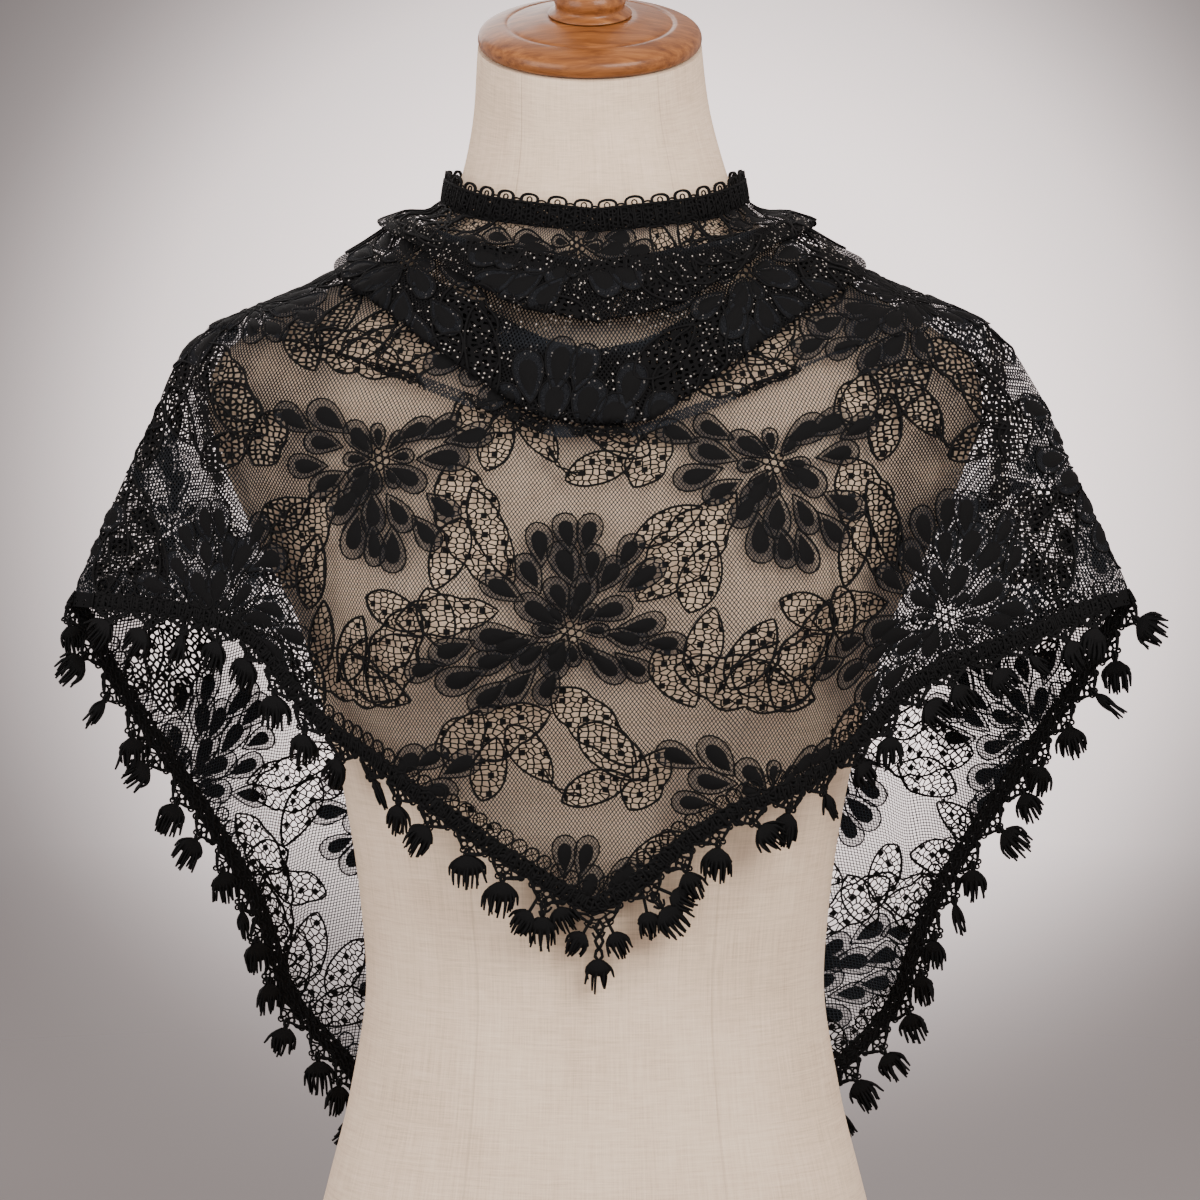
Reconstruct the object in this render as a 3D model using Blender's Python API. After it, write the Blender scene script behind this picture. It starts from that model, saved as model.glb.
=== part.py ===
"""A black lace mantilla worn on a limbless dress form.

The mantilla is one lace triangle, about 1.6 m along its picot edge and 0.47 m deep. Its point hangs in front,
the middle of its long edge stands round the neck over two cowl folds, and its ends hang down the back.
Millimetres are used throughout and scaled to metres where each mesh is made. The front faces -Y, +Z is up,
and the origin is the middle of the dress form's flat underside.
"""

import math

import bmesh
import bpy
import numpy as np

MM = 0.001

# Driving sizes, mm.
WALL = 1.2
GAP = 0.4
BODY_CLEARANCE = 5.5
SHOULDER_LIFT = 4.0
LEAN = 0.12
LAYER_PITCH = 2.8
HOLE_WIDTH = 5.4
SEAM_GAP = 0.4
SEAM_MITRE = 1.5
TRIM_DEPTH = 9.0
TASSEL_PITCH = 22.0
TASSEL_LENGTH = 26.0
POINT_TASSEL = 1.8
PICOT_PITCH = 13.4
PICOT_HEIGHT = 5.0
NECK_BAND_HEIGHT = 12.0
BACK_BAND_WIDTH = 6.0
NECK_TILT = math.tan(math.radians(19.5))
NECK_TOP = 728.0
NECK_SHIFT = -2.5

# How finely the solids are divided.
BODY_SIDES = 32
FRONT_COLUMNS = 24
BACK_COLUMNS = 10
COLUMN_LEVEL = 520.0
HANGING_ROWS = 15

# The dress form's level sections: half width, depth in front and behind, and the squareness of the oval.
BODY_SECTIONS = (
    {"z": 0, "side": 156, "front": 90, "back": 106, "square": 2.2},
    {"z": 60, "side": 155, "front": 92, "back": 110, "square": 2.2},
    {"z": 110, "side": 147, "front": 94, "back": 107, "square": 2.2},
    {"z": 158, "side": 135, "front": 92, "back": 98, "square": 2.2},
    {"z": 207, "side": 123, "front": 87, "back": 85, "square": 2.1},
    {"z": 263, "side": 115, "front": 83, "back": 76, "square": 2.1},
    {"z": 305, "side": 118, "front": 86, "back": 77, "square": 2.1},
    {"z": 358, "side": 126, "front": 93, "back": 82, "square": 2.1},
    {"z": 400, "side": 136, "front": 99, "back": 87, "square": 2.1},
    {"z": 443, "side": 148, "front": 104, "back": 92, "square": 2.1},
    {"z": 481, "side": 167, "front": 102, "back": 95, "square": 2.1},
    {"z": 522, "side": 185, "front": 95, "back": 96, "square": 2.1},
    {"z": 552, "side": 193, "front": 87, "back": 93, "square": 2.1},
    {"z": 572, "side": 188, "front": 81, "back": 89, "square": 2.0},
    {"z": 592, "side": 163, "front": 76, "back": 84, "square": 2.0},
    {"z": 612, "side": 125, "front": 71, "back": 79, "square": 2.0},
    {"z": 632, "side": 92, "front": 66, "back": 73, "square": 2.0},
    {"z": 650, "side": 72, "front": 61, "back": 67, "square": 2.0},
    {"z": 671, "side": 64, "front": 57, "back": 61, "square": 2.0},
    {"z": 700, "side": 58, "front": 54, "back": 57, "square": 2.0},
    {"z": 728, "side": 55.5, "front": 53, "back": 55, "square": 2.0},
)
BUST = {"angle": 38.0, "spread": 22.0, "z": 440.0, "above": 60.0, "below": 42.0, "rise": 19.0}

# Where the worn lace stands out to each side, from the neck down to the corner of the hem.
SIDE_REACH = (
    {"z": 60, "left": 250, "right": 255},
    {"z": 300, "left": 258, "right": 264},
    {"z": 453, "left": 260, "right": 267},
    {"z": 483, "left": 247, "right": 255},
    {"z": 523, "left": 230, "right": 236},
    {"z": 548, "left": 217, "right": 225},
    {"z": 566, "left": 209, "right": 214},
    {"z": 580, "left": 200, "right": 205},
    {"z": 592, "left": 183, "right": 193},
    {"z": 604, "left": 150, "right": 162},
    {"z": 618, "left": 124, "right": 131},
    {"z": 630, "left": 105, "right": 108},
    {"z": 641, "left": 90, "right": 92},
    {"z": 651, "left": 81, "right": 82},
    {"z": 662, "left": 77, "right": 77},
)
DRAPE_DEPTH = {"neck": 70.0, "shoulder": 96.0}
DRAPE_SQUARE = {"neck": 2.0, "shoulder": 1.28}
SHOULDER_LEVELS = (560.0, 640.0)

# The neck opening that the picot edging stands on, and the lace's top edge under it.
NECK_RING = {"side": 76.0, "front": 71.0, "back": 75.0}
NECK_EDGE = ({"angle": 0, "z": 636}, {"angle": 45, "z": 642}, {"angle": 90, "z": 651}, {"angle": 168, "z": 650})
SLIT_ANGLE = {"neck": 168.0, "tip": 147.0}
SLANT_FROM = 100.0

# The hem's height round the body, from the point in front to the tip that hangs behind.
HEM = (
    {"angle": 0, "left": 316, "right": 316},
    {"angle": 11, "left": 327, "right": 328},
    {"angle": 20, "left": 339, "right": 345},
    {"angle": 35, "left": 365, "right": 367},
    {"angle": 50, "left": 387, "right": 378},
    {"angle": 60, "left": 397, "right": 392},
    {"angle": 64, "left": 406, "right": 403},
    {"angle": 68, "left": 421, "right": 416},
    {"angle": 72, "left": 441, "right": 425},
    {"angle": 78, "left": 452, "right": 437},
    {"angle": 84, "left": 456, "right": 450},
    {"angle": 90, "left": 457, "right": 458},
    {"angle": 94, "left": 413, "right": 416},
    {"angle": 99, "left": 361, "right": 364},
    {"angle": 107, "left": 286, "right": 289},
    {"angle": 111, "left": 244, "right": 248},
    {"angle": 118, "left": 206, "right": 209},
    {"angle": 131, "left": 143, "right": 146},
    {"angle": 147, "left": 80, "right": 82},
)

# The cowl's two folds: the height of each lip round the neck, and how far the cloth doubles back above it.
UPPER_FOLD = (
    {"angle": 0, "lip": 590, "overlap": 31},
    {"angle": 20, "lip": 597, "overlap": 28},
    {"angle": 40, "lip": 612, "overlap": 17},
    {"angle": 60, "lip": 626, "overlap": 9},
    {"angle": 90, "lip": 633, "overlap": 6},
    {"angle": 104, "lip": 633, "overlap": 1},
)
LOWER_FOLD = (
    {"angle": 0, "lip": 543, "overlap": 37},
    {"angle": 12, "lip": 546, "overlap": 38},
    {"angle": 25, "lip": 557, "overlap": 36},
    {"angle": 40, "lip": 576, "overlap": 29},
    {"angle": 60, "lip": 600, "overlap": 19},
    {"angle": 90, "lip": 619, "overlap": 8},
    {"angle": 104, "lip": 622, "overlap": 1},
)
FOLDS_END = (100.0, 165.0)

# Soft upright pleats of the hanging cloth: where each runs, its width in degrees and how far it stands out.
PLEATS = (
    {"angle": -128, "spread": 5.0, "rise": 7.0, "from_z": 560},
    {"angle": -111, "spread": 4.0, "rise": 6.0, "from_z": 540},
    {"angle": -76, "spread": 5.0, "rise": 5.0, "from_z": 520},
    {"angle": 81, "spread": 3.5, "rise": 7.0, "from_z": 560},
    {"angle": 113, "spread": 4.0, "rise": 7.0, "from_z": 540},
    {"angle": 130, "spread": 5.0, "rise": 6.0, "from_z": 560},
)

# The lace's repeat in the flat: its size, the middle of one flower, and the coarse openwork that is cut through.
REPEAT = {"across": 188.0, "down": 162.0, "start_across": -12.0, "start_down": 312.0}
GAPS_IN_REPEAT = (
    {"across": -81.0, "down": 2.0},
    {"across": -100.0, "down": 24.0},
    {"across": -44.0, "down": -48.0},
    {"across": 53.0, "down": -39.0},
    {"across": 85.0, "down": 28.0},
    {"across": 66.0, "down": 10.0},
    {"across": 17.0, "down": 66.0},
    {"across": -37.0, "down": 57.0},
)
ROOM_FOR_GAP = 10.0
GAP_REACH = 12.0

BLACK_LACE = {"name": "black_lace", "colour": (0.012, 0.012, 0.013, 1), "rough": 0.75}
BLACK_TRIM = {"name": "black_trim", "colour": (0.010, 0.010, 0.011, 1), "rough": 0.7}
LINEN = {"name": "cream_linen", "colour": (0.62, 0.55, 0.46, 1), "rough": 0.85}
WOOD = {"name": "varnished_wood", "colour": (0.45, 0.20, 0.075, 1), "rough": 0.3}


def smooth_read(table, key, name, at):
    """Reads column name of a table at key values at, on a smooth curve that never overshoots its rows."""
    keys = np.array([row[key] for row in table], float)
    values = np.array([row[name] for row in table], float)
    steps = np.diff(values) / np.diff(keys)
    before, after = np.append(steps[0], steps), np.append(steps, steps[-1])
    same_way = before * after > 0
    slopes = np.where(same_way, 2 * before * after / np.where(same_way, before + after, 1), 0)
    at = np.clip(np.asarray(at, float), keys[0], keys[-1])
    low = np.clip(np.searchsorted(keys, at) - 1, 0, len(keys) - 2)
    span = keys[low + 1] - keys[low]
    t = (at - keys[low]) / span
    return (
        (2 * t**3 - 3 * t**2 + 1) * values[low]
        + (t**3 - 2 * t**2 + t) * span * slopes[low]
        + (3 * t**2 - 2 * t**3) * values[low + 1]
        + (t**3 - t**2) * span * slopes[low + 1]
    )


def oval_radius(angle, side, front, back, square):
    """The radius of a level oval at an angle in degrees from the front."""
    turn = np.radians(angle)
    depth = np.where(np.cos(turn) >= 0, front, back)
    return (np.abs(np.sin(turn) / side) ** square + np.abs(np.cos(turn) / depth) ** square) ** (-1 / square)


def body_radius(angle, z):
    """The dress form's radius at an angle from the front and a height."""
    section = {name: smooth_read(BODY_SECTIONS, "z", name, z) for name in ("side", "front", "back", "square")}
    radius = oval_radius(angle, section["side"], section["front"], section["back"], section["square"])
    reach = np.where(z > BUST["z"], BUST["above"], BUST["below"])
    bell = np.exp(-(((np.abs(angle) - BUST["angle"]) / BUST["spread"]) ** 2) - ((z - BUST["z"]) / reach) ** 2)
    return radius + BUST["rise"] * bell


HANG_ANGLES = np.linspace(0, 180, 91)
HANG_LEVELS = np.arange(0, 701, 5.0)


def hanging_table():
    """How far cloth stands out where it hangs from whatever part of the form sticks out above it."""
    table = np.zeros((len(HANG_ANGLES), len(HANG_LEVELS)))
    grid_angle, grid_z = np.meshgrid(HANG_ANGLES, HANG_LEVELS, indexing="ij")
    radii = body_radius(grid_angle, grid_z)
    for j, z in enumerate(HANG_LEVELS):
        above = HANG_LEVELS >= z - SHOULDER_LIFT
        drop = np.maximum(0, HANG_LEVELS[above] - z)
        table[:, j] = (radii[:, above] + BODY_CLEARANCE - LEAN * drop).max(axis=1)
    return table


HANGING = hanging_table()


def hanging_radius(angle, z):
    """HANGING between its angles and levels."""
    across = np.interp(np.abs(angle), HANG_ANGLES, np.arange(len(HANG_ANGLES)))
    up = np.interp(z, HANG_LEVELS, np.arange(len(HANG_LEVELS)))
    i = np.minimum(across.astype(int), len(HANG_ANGLES) - 2)
    j = np.minimum(up.astype(int), len(HANG_LEVELS) - 2)
    a, b = across - i, up - j
    return (
        HANGING[i, j] * (1 - a) * (1 - b)
        + HANGING[i + 1, j] * a * (1 - b)
        + HANGING[i, j + 1] * (1 - a) * b
        + HANGING[i + 1, j + 1] * a * b
    )


def share(low, high, value):
    """0 at low, 1 at high, turning smoothly between."""
    t = np.clip((np.asarray(value, float) - low) / (high - low), 0, 1)
    return t * t * (3 - 2 * t)


def cloth_radius(angle, z):
    """How far the middle of the lace wall stands from the upright axis, before the cowl's folds."""
    angle, z = np.broadcast_arrays(np.asarray(angle, float), np.asarray(z, float))
    reach = np.where(angle < 0, smooth_read(SIDE_REACH, "z", "left", z), smooth_read(SIDE_REACH, "z", "right", z))
    up = share(*SHOULDER_LEVELS, z)
    depth = DRAPE_DEPTH["shoulder"] + (DRAPE_DEPTH["neck"] - DRAPE_DEPTH["shoulder"]) * up
    square = DRAPE_SQUARE["shoulder"] + (DRAPE_SQUARE["neck"] - DRAPE_SQUARE["shoulder"]) * up
    drape = oval_radius(angle, reach, depth, depth, square)
    hang = hanging_radius(angle, z)
    blend = 20
    radius = (drape**blend + hang**blend) ** (1 / blend)
    for pleat in PLEATS:
        fall = share(pleat["from_z"], pleat["from_z"] - 150, z)
        radius = radius + pleat["rise"] * fall * np.exp(-(((angle - pleat["angle"]) / pleat["spread"]) ** 2))
    return radius


def neck_radius(angle):
    return oval_radius(angle, NECK_RING["side"], NECK_RING["front"], NECK_RING["back"], 2.0)


def side_name(angle):
    return "left" if angle < 0 else "right"


def hem_angle(angle):
    """Where a column that leaves the neck at angle meets the hem. Behind the arms it slants towards the tip."""
    size = abs(angle)
    if size <= SLANT_FROM:
        return angle
    slanted = SLANT_FROM + (size - SLANT_FROM) * (SLIT_ANGLE["tip"] - SLANT_FROM) / (SLIT_ANGLE["neck"] - SLANT_FROM)
    return math.copysign(slanted, angle)


def point_at(angle, radius, z):
    turn = math.radians(angle)
    return np.array([radius * math.sin(turn), -radius * math.cos(turn), z])


def outward_shift(angle, z, offset):
    """Radius and height of the point offset from the base surface along its own upright normal."""
    step = 2.0
    slope = (cloth_radius(angle, z + step) - cloth_radius(angle, z - step)) / (2 * step)
    length = math.hypot(1, slope)
    return float(cloth_radius(angle, z)) + offset / length, z - offset * slope / length


def column_profile(angle):
    """The middle points of the wall down one column, from the neck edge through the cowl's folds to the hem."""
    size = abs(angle)
    top = float(smooth_read(NECK_EDGE, "angle", "z", size))
    end_angle = hem_angle(angle)
    bottom = float(smooth_read(HEM, "angle", side_name(angle), abs(end_angle)))
    upper, lower = (float(smooth_read(fold, "angle", "lip", size)) for fold in (UPPER_FOLD, LOWER_FOLD))
    upper_top = upper + float(smooth_read(UPPER_FOLD, "angle", "overlap", size))
    lower_top = lower + float(smooth_read(LOWER_FOLD, "angle", "overlap", size))
    ring = float(neck_radius(angle))
    start = ring - float(cloth_radius(angle, top))
    folded = (
        (top, start),
        (0.5 * (top + upper), 0.25 * start + 3 * LAYER_PITCH),
        (upper, 4 * LAYER_PITCH),
        (upper, 3 * LAYER_PITCH),
        (upper_top, 3 * LAYER_PITCH),
        (upper_top, 2 * LAYER_PITCH),
        (0.5 * (upper_top + lower), 2 * LAYER_PITCH),
        (lower, 2 * LAYER_PITCH),
        (lower, LAYER_PITCH),
        (lower_top, LAYER_PITCH),
        (lower_top, 0.0),
    )
    fade = float(share(*FOLDS_END, size))
    step = (top - bottom) / (len(folded) - 1 + HANGING_ROWS)
    stops = []
    for k, (z, offset) in enumerate(folded):
        plain = top - k * step
        stops.append((z + (plain - z) * fade, offset * (1 - fade) if k else offset))
    last = stops[-1][0]
    for k in range(1, HANGING_ROWS + 1):
        stops.append((last + (bottom - last) * k / HANGING_ROWS, 0.0))
    points = []
    for k, (z, offset) in enumerate(stops):
        down = (top - min(z, top)) / (top - bottom)
        at = angle + (end_angle - angle) * down
        radius, height = outward_shift(at, z, offset) if k else (ring, top)
        points.append(point_at(at, radius, height))
    return points


def spread_angles(low, high, count):
    """Angles between low and high that lie evenly along the cloth at the shoulders."""
    angles = np.linspace(low, high, 400)
    radii = cloth_radius(angles, COLUMN_LEVEL)
    line = np.stack([radii * np.sin(np.radians(angles)), radii * np.cos(np.radians(angles))], axis=1)
    along = np.concatenate([[0], np.cumsum(np.linalg.norm(np.diff(line, axis=0), axis=1))])
    return np.interp(np.linspace(0, along[-1], count + 1), along, angles)


def lay_columns(angles):
    """A grid of wall points under the given angles: [column][row] = point."""
    return np.array([column_profile(angle) for angle in angles])


def grid_normals(grid):
    """Unit normals of a grid of points, pointing away from the body."""
    across = np.gradient(grid, axis=0)
    down = np.gradient(grid, axis=1)
    normal = np.cross(down, across)
    return normal / np.linalg.norm(normal, axis=2, keepdims=True)


def mesh_object(name, points, faces, material):
    """A named object from points in mm, with its faces turned outwards."""
    mesh = bpy.data.meshes.new(name)
    mesh.from_pydata([tuple(p * MM for p in point) for point in points], [], faces)
    shape = bmesh.new()
    shape.from_mesh(mesh)
    bmesh.ops.recalc_face_normals(shape, faces=shape.faces)
    if shape.calc_volume(signed=True) < 0:
        bmesh.ops.reverse_faces(shape, faces=shape.faces)
    shape.to_mesh(mesh)
    shape.free()
    mesh.materials.append(material)
    made = bpy.data.objects.new(name, mesh)
    bpy.context.scene.collection.objects.link(made)
    return made


class Sheet:
    """A wall built from cells: corner points with a normal and half a thickness, closed along every open edge."""

    def __init__(self):
        self.points, self.cells = [], []

    def add(self, point, normal, half=WALL / 2):
        self.points.append((np.asarray(point, float), np.asarray(normal, float), half))
        return len(self.points) - 1

    def cell(self, *corners):
        self.cells.append(corners)

    def solid(self, name, material):
        count = len(self.points)
        outer = [p + n * half for p, n, half in self.points]
        inner = [p - n * half for p, n, half in self.points]
        faces, edges = [], set()
        for corners in self.cells:
            edges.update(zip(corners, corners[1:] + corners[:1]))
            places = [self.points[c][0] for c in corners]
            if np.linalg.norm(places[0] - places[2]) > np.linalg.norm(places[1] - places[3]):
                corners = corners[1:] + corners[:1]
            for a, b, c in (corners[:3], (corners[0], corners[2], corners[3])):
                faces.append((a, b, c))
                faces.append((a + count, c + count, b + count))
        for a, b in edges:
            if (b, a) not in edges:
                faces.append((b, a, a + count, b + count))
        return mesh_object(name, outer + inner, faces, material)


def flatten(grid, rounds=60):
    """Each grid point's place in the flat cloth, found by laying every triangle flat and turning it to fit the rest."""
    columns, rows = grid.shape[:2]
    index = np.arange(columns * rows).reshape(columns, rows)
    a, b, c, d = (index[:-1, :-1], index[1:, :-1], index[1:, 1:], index[:-1, 1:])
    faces = np.concatenate([np.stack([a, b, c], -1).reshape(-1, 3), np.stack([a, c, d], -1).reshape(-1, 3)])
    corners = grid.reshape(-1, 3)[faces]
    ahead = corners[:, 1] - corners[:, 0]
    length = np.linalg.norm(ahead, axis=1)
    away = corners[:, 2] - corners[:, 0]
    along = (away * ahead).sum(1) / length
    beside = np.sqrt(np.maximum((away**2).sum(1) - along**2, 1e-6))
    flat = np.zeros((len(faces), 3, 2))
    flat[:, 1, 0], flat[:, 2, 0], flat[:, 2, 1] = length, along, beside
    size = index.size
    pull = np.zeros((size, size))
    sides = []
    for k in range(3):
        i, j, o = faces[:, k], faces[:, (k + 1) % 3], faces[:, (k + 2) % 3]
        p, q = flat[:, k] - flat[:, (k + 2) % 3], flat[:, (k + 1) % 3] - flat[:, (k + 2) % 3]
        crossed = np.abs(p[:, 0] * q[:, 1] - p[:, 1] * q[:, 0])
        weight = np.clip((p * q).sum(1) / np.maximum(crossed, 1e-9), 0.05, 8)
        sides.append((i, j, weight, flat[:, k] - flat[:, (k + 1) % 3]))
        for m, n in ((i, j), (j, i)):
            np.add.at(pull, (m, m), weight)
            np.add.at(pull, (m, n), -weight)
    pull[0, 0] += 1
    solve = np.linalg.inv(pull)
    widths = np.linalg.norm(np.diff(grid, axis=0), axis=2)
    drops = np.linalg.norm(np.diff(grid, axis=1), axis=2)
    across = np.concatenate([np.zeros((1, rows)), np.cumsum(widths, axis=0)])
    across -= across[columns // 2]
    down = np.concatenate([np.zeros((columns, 1)), np.cumsum(drops, axis=1)], axis=1)
    places = np.stack([across, down], -1).reshape(-1, 2)
    for _ in range(rounds):
        turn = np.zeros((len(faces), 2))
        for i, j, weight, edge in sides:
            now = places[i] - places[j]
            turn[:, 0] += weight * (now * edge).sum(1)
            turn[:, 1] += weight * (now[:, 1] * edge[:, 0] - now[:, 0] * edge[:, 1])
        turn /= np.linalg.norm(turn, axis=1, keepdims=True)
        wanted = np.zeros((size, 2))
        for i, j, weight, edge in sides:
            turned_edge = np.stack(
                [turn[:, 0] * edge[:, 0] - turn[:, 1] * edge[:, 1], turn[:, 1] * edge[:, 0] + turn[:, 0] * edge[:, 1]],
                -1,
            )
            np.add.at(wanted, i, weight[:, None] * turned_edge)
            np.add.at(wanted, j, -weight[:, None] * turned_edge)
        places = solve @ wanted
    places = places.reshape(columns, rows, 2)
    middle = columns // 2
    places -= places[middle, 0]
    hang = places[middle, -1]
    turn = math.atan2(hang[0], hang[1])
    spin = np.array([[math.cos(turn), math.sin(turn)], [-math.sin(turn), math.cos(turn)]])
    return places @ spin


def gap_places():
    """The middles of the widest gaps of every repeat of the lace, in the flat."""
    places = []
    for row in range(-3, 3):
        down = REPEAT["start_down"] + row * REPEAT["down"]
        for turn in range(-5, 6):
            across = REPEAT["start_across"] + turn * REPEAT["across"]
            places.extend((across + gap["across"], down + gap["down"]) for gap in GAPS_IN_REPEAT)
    return places


def lace_panel(name, grid, flat, seams, material):
    """One stretch of the lace as a wall, with the widest gaps of its pattern cut through."""
    columns, rows = grid.shape[:2]
    normals = grid_normals(grid)
    level = grid[:, 0] * np.array([1, 1, 0])
    normals[:, 0] = level / np.linalg.norm(level, axis=1, keepdims=True)
    halves = np.full((columns, rows), WALL / 2)
    for seam in seams:
        normals[seam, :, 1] = 0
        normals[seam] /= np.linalg.norm(normals[seam], axis=1, keepdims=True)
        halves[seam] *= SEAM_MITRE
    sheet = Sheet()
    index = [[sheet.add(grid[i, j], normals[i, j], halves[i, j]) for j in range(rows)] for i in range(columns)]
    middles = (flat[:-1, :-1] + flat[1:, :-1] + flat[:-1, 1:] + flat[1:, 1:]) / 4
    tall = np.linalg.norm(grid[:-1, 1:] - grid[:-1, :-1], axis=2)
    wide = np.linalg.norm(grid[1:, :-1] - grid[:-1, :-1], axis=2)
    room = np.minimum(tall, wide) > ROOM_FOR_GAP
    room[[0, -1], :] = False
    room[:, [0, -1]] = False
    cut = set()
    for place in gap_places():
        far = np.where(room, np.hypot(middles[..., 0] - place[0], middles[..., 1] - place[1]), np.inf)
        i, j = np.unravel_index(np.argmin(far), far.shape)
        if far[i, j] < GAP_REACH:
            cut.add((int(i), int(j)))
    for i in range(columns - 1):
        for j in range(rows - 1):
            corners = (index[i][j], index[i][j + 1], index[i + 1][j + 1], index[i + 1][j])
            if (i, j) not in cut:
                sheet.cell(*corners)
                continue
            places = ((i, j), (i, j + 1), (i + 1, j + 1), (i + 1, j))
            middle = sum(grid[a, b] for a, b in places) / 4
            normal = sum(normals[a, b] for a, b in places)
            normal = normal / np.linalg.norm(normal)
            ring = []
            for a, b in places:
                away = grid[a, b] - middle
                away = away / np.linalg.norm(away) * HOLE_WIDTH * 0.7
                ring.append(sheet.add(middle + away, normal))
            for k in range(4):
                n = (k + 1) % 4
                sheet.cell(corners[k], corners[n], ring[n], ring[k])
    print(name, "gaps cut:", len(cut))
    return sheet.solid(name, material)


def lengths_along(line):
    return np.concatenate([[0], np.cumsum(np.linalg.norm(np.diff(line, axis=0), axis=1))])


def read_line(line, at, wanted):
    """The points of a line at the wanted lengths, where its own points lie at the lengths in at."""
    return np.stack([np.interp(wanted, at, line[:, k]) for k in range(3)], axis=1)


def edge_frames(line, beside, pitch, point=None):
    """Evenly spaced places along a cloth edge: point, direction along it, outward normal and the way off the cloth.

    Where the edge has a sharp point, the places lie evenly on both sides of it, and the two nearest are level with it.
    """
    at = lengths_along(line)
    if point is None:
        wanted = np.linspace(0, at[-1], max(2, round(at[-1] / pitch)) + 1)
    else:
        before = (int(at[point] / pitch - 0.5) - 1) // 3 * 3 + 2
        wanted = at[point] + pitch * (np.arange(-before, before) + 0.5)
    points = read_line(line, at, wanted)
    inner = read_line(beside, at, wanted)
    if point is not None:
        points[before - 1 : before + 1, 2] = line[point][2]
    along = np.gradient(points, axis=0)
    along /= np.linalg.norm(along, axis=1, keepdims=True)
    off = points - inner
    off -= (off * along).sum(axis=1, keepdims=True) * along
    off /= np.linalg.norm(off, axis=1, keepdims=True)
    normal = np.cross(off, along)
    outward = points * np.array([1, 1, 0])
    flip = np.sign((normal * outward).sum(axis=1, keepdims=True))
    return points, along, normal * flip, off


def tassel_trim(name, line, beside, material, point=None):
    """A narrow pierced strip along the hem with a tassel hanging from each repeat."""
    thirds = 3
    points, along, normal, off = edge_frames(line, beside, TASSEL_PITCH / thirds, point)
    sheet = Sheet()
    strip_half = 0.8
    depths = (GAP + 0.4, 2.3, 7.0, TRIM_DEPTH)
    last = (len(points) - 1) // thirds * thirds
    grid = []
    for k in range(last + 1):
        grid.append([sheet.add(points[k] + off[k] * d, normal[k], strip_half) for d in depths])
    for k in range(last):
        for row in range(3):
            if row == 1 and k % thirds == 1:
                continue
            sheet.cell(grid[k][row], grid[k][row + 1], grid[k + 1][row + 1], grid[k + 1][row])
    stations = (
        {"far": 7.0, "half_width": 1.2, "half": 0.9},
        {"far": 14.0, "half_width": 4.5, "half": 2.0},
        {"far": TASSEL_LENGTH, "half_width": 6.5, "half": 1.5},
    )
    for k in range(1, last, thirds):
        root = (points[k] + points[k + 1]) / 2 + (off[k] + off[k + 1]) / 2 * TRIM_DEPTH
        way = (off[k] + off[k + 1]) / 2 * 0.4 + np.array([0, 0, -0.8])
        facing = normal[k] + normal[k + 1]
        facing /= np.linalg.norm(facing)
        way -= way.dot(facing) * facing
        way /= np.linalg.norm(way)
        beside_way = np.cross(facing, way)
        if beside_way.dot(along[k]) < 0:
            beside_way = -beside_way
        before = (grid[k][3], grid[k + 1][3])
        stretch = POINT_TASSEL if point is not None and 2 * k + 1 == last else 1
        for station in stations:
            centre = root + way * station["far"] * stretch
            wide = beside_way * station["half_width"]
            pair = (
                sheet.add(centre - wide, facing, station["half"]),
                sheet.add(centre + wide, facing, station["half"]),
            )
            sheet.cell(before[0], pair[0], pair[1], before[1])
            before = pair
    return sheet.solid(name, material)


def picot_edging(name, line, beside, depth, material):
    """A plain band along the lace's long edge with a row of small points."""
    points, along, normal, off = edge_frames(line, beside, PICOT_PITCH / 2)
    sheet = Sheet()
    low = [sheet.add(p + o * GAP, n, 0.7) for p, n, o in zip(points, normal, off)]
    high = [sheet.add(p + o * depth, n, 0.7) for p, n, o in zip(points, normal, off)]
    for k in range(len(points) - 1):
        sheet.cell(low[k], high[k], high[k + 1], low[k + 1])
        if k % 2 == 0:
            continue
        middle = (points[k] + points[k + 1]) / 2 + off[k] * (depth + PICOT_HEIGHT)
        tip = [sheet.add(middle + along[k] * 1.6 * turn, normal[k], 0.7) for turn in (-1, 1)]
        sheet.cell(high[k], tip[0], tip[1], high[k + 1])
    return sheet.solid(name, material)


def material_of(spec, metallic=0.0):
    made = bpy.data.materials.new(spec["name"])
    made.use_nodes = True
    shader = made.node_tree.nodes["Principled BSDF"]
    shader.inputs["Base Color"].default_value = spec["colour"]
    shader.inputs["Roughness"].default_value = spec["rough"]
    shader.inputs["Metallic"].default_value = metallic
    made.diffuse_color = spec["colour"]
    return made


def body_point(angle, z):
    """A point of the form: level below the shoulders, with the neck's top tilted forward and a little to the left."""
    radius = float(body_radius(np.array(angle), np.array(float(z))))
    lift = float(share(655, NECK_TOP, z))
    x, y, z = point_at(angle, radius, z)
    return np.array([x + lift * NECK_SHIFT, y, z + lift * y * NECK_TILT])


def dress_form_body(material):
    """The limbless torso and neck, closed by a flat underside and a tilted top."""
    levels = sorted([row["z"] for row in BODY_SECTIONS] + [30, 85, 135, 422, 460])
    angles = [360 * k / BODY_SIDES - 180 for k in range(BODY_SIDES)]
    points = []
    for z in levels:
        for angle in angles:
            points.append(body_point(angle, z))
    faces = [tuple(range(BODY_SIDES)), tuple(range(len(points) - BODY_SIDES, len(points)))]
    for row in range(len(levels) - 1):
        for k in range(BODY_SIDES):
            a, b = row * BODY_SIDES + k, row * BODY_SIDES + (k + 1) % BODY_SIDES
            faces.append((a, b, b + BODY_SIDES, a + BODY_SIDES))
    made = mesh_object("form_body", points, faces, material)
    made.data.shade_smooth()
    made.data.set_sharp_from_angle(angle=math.radians(40))
    return made


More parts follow.
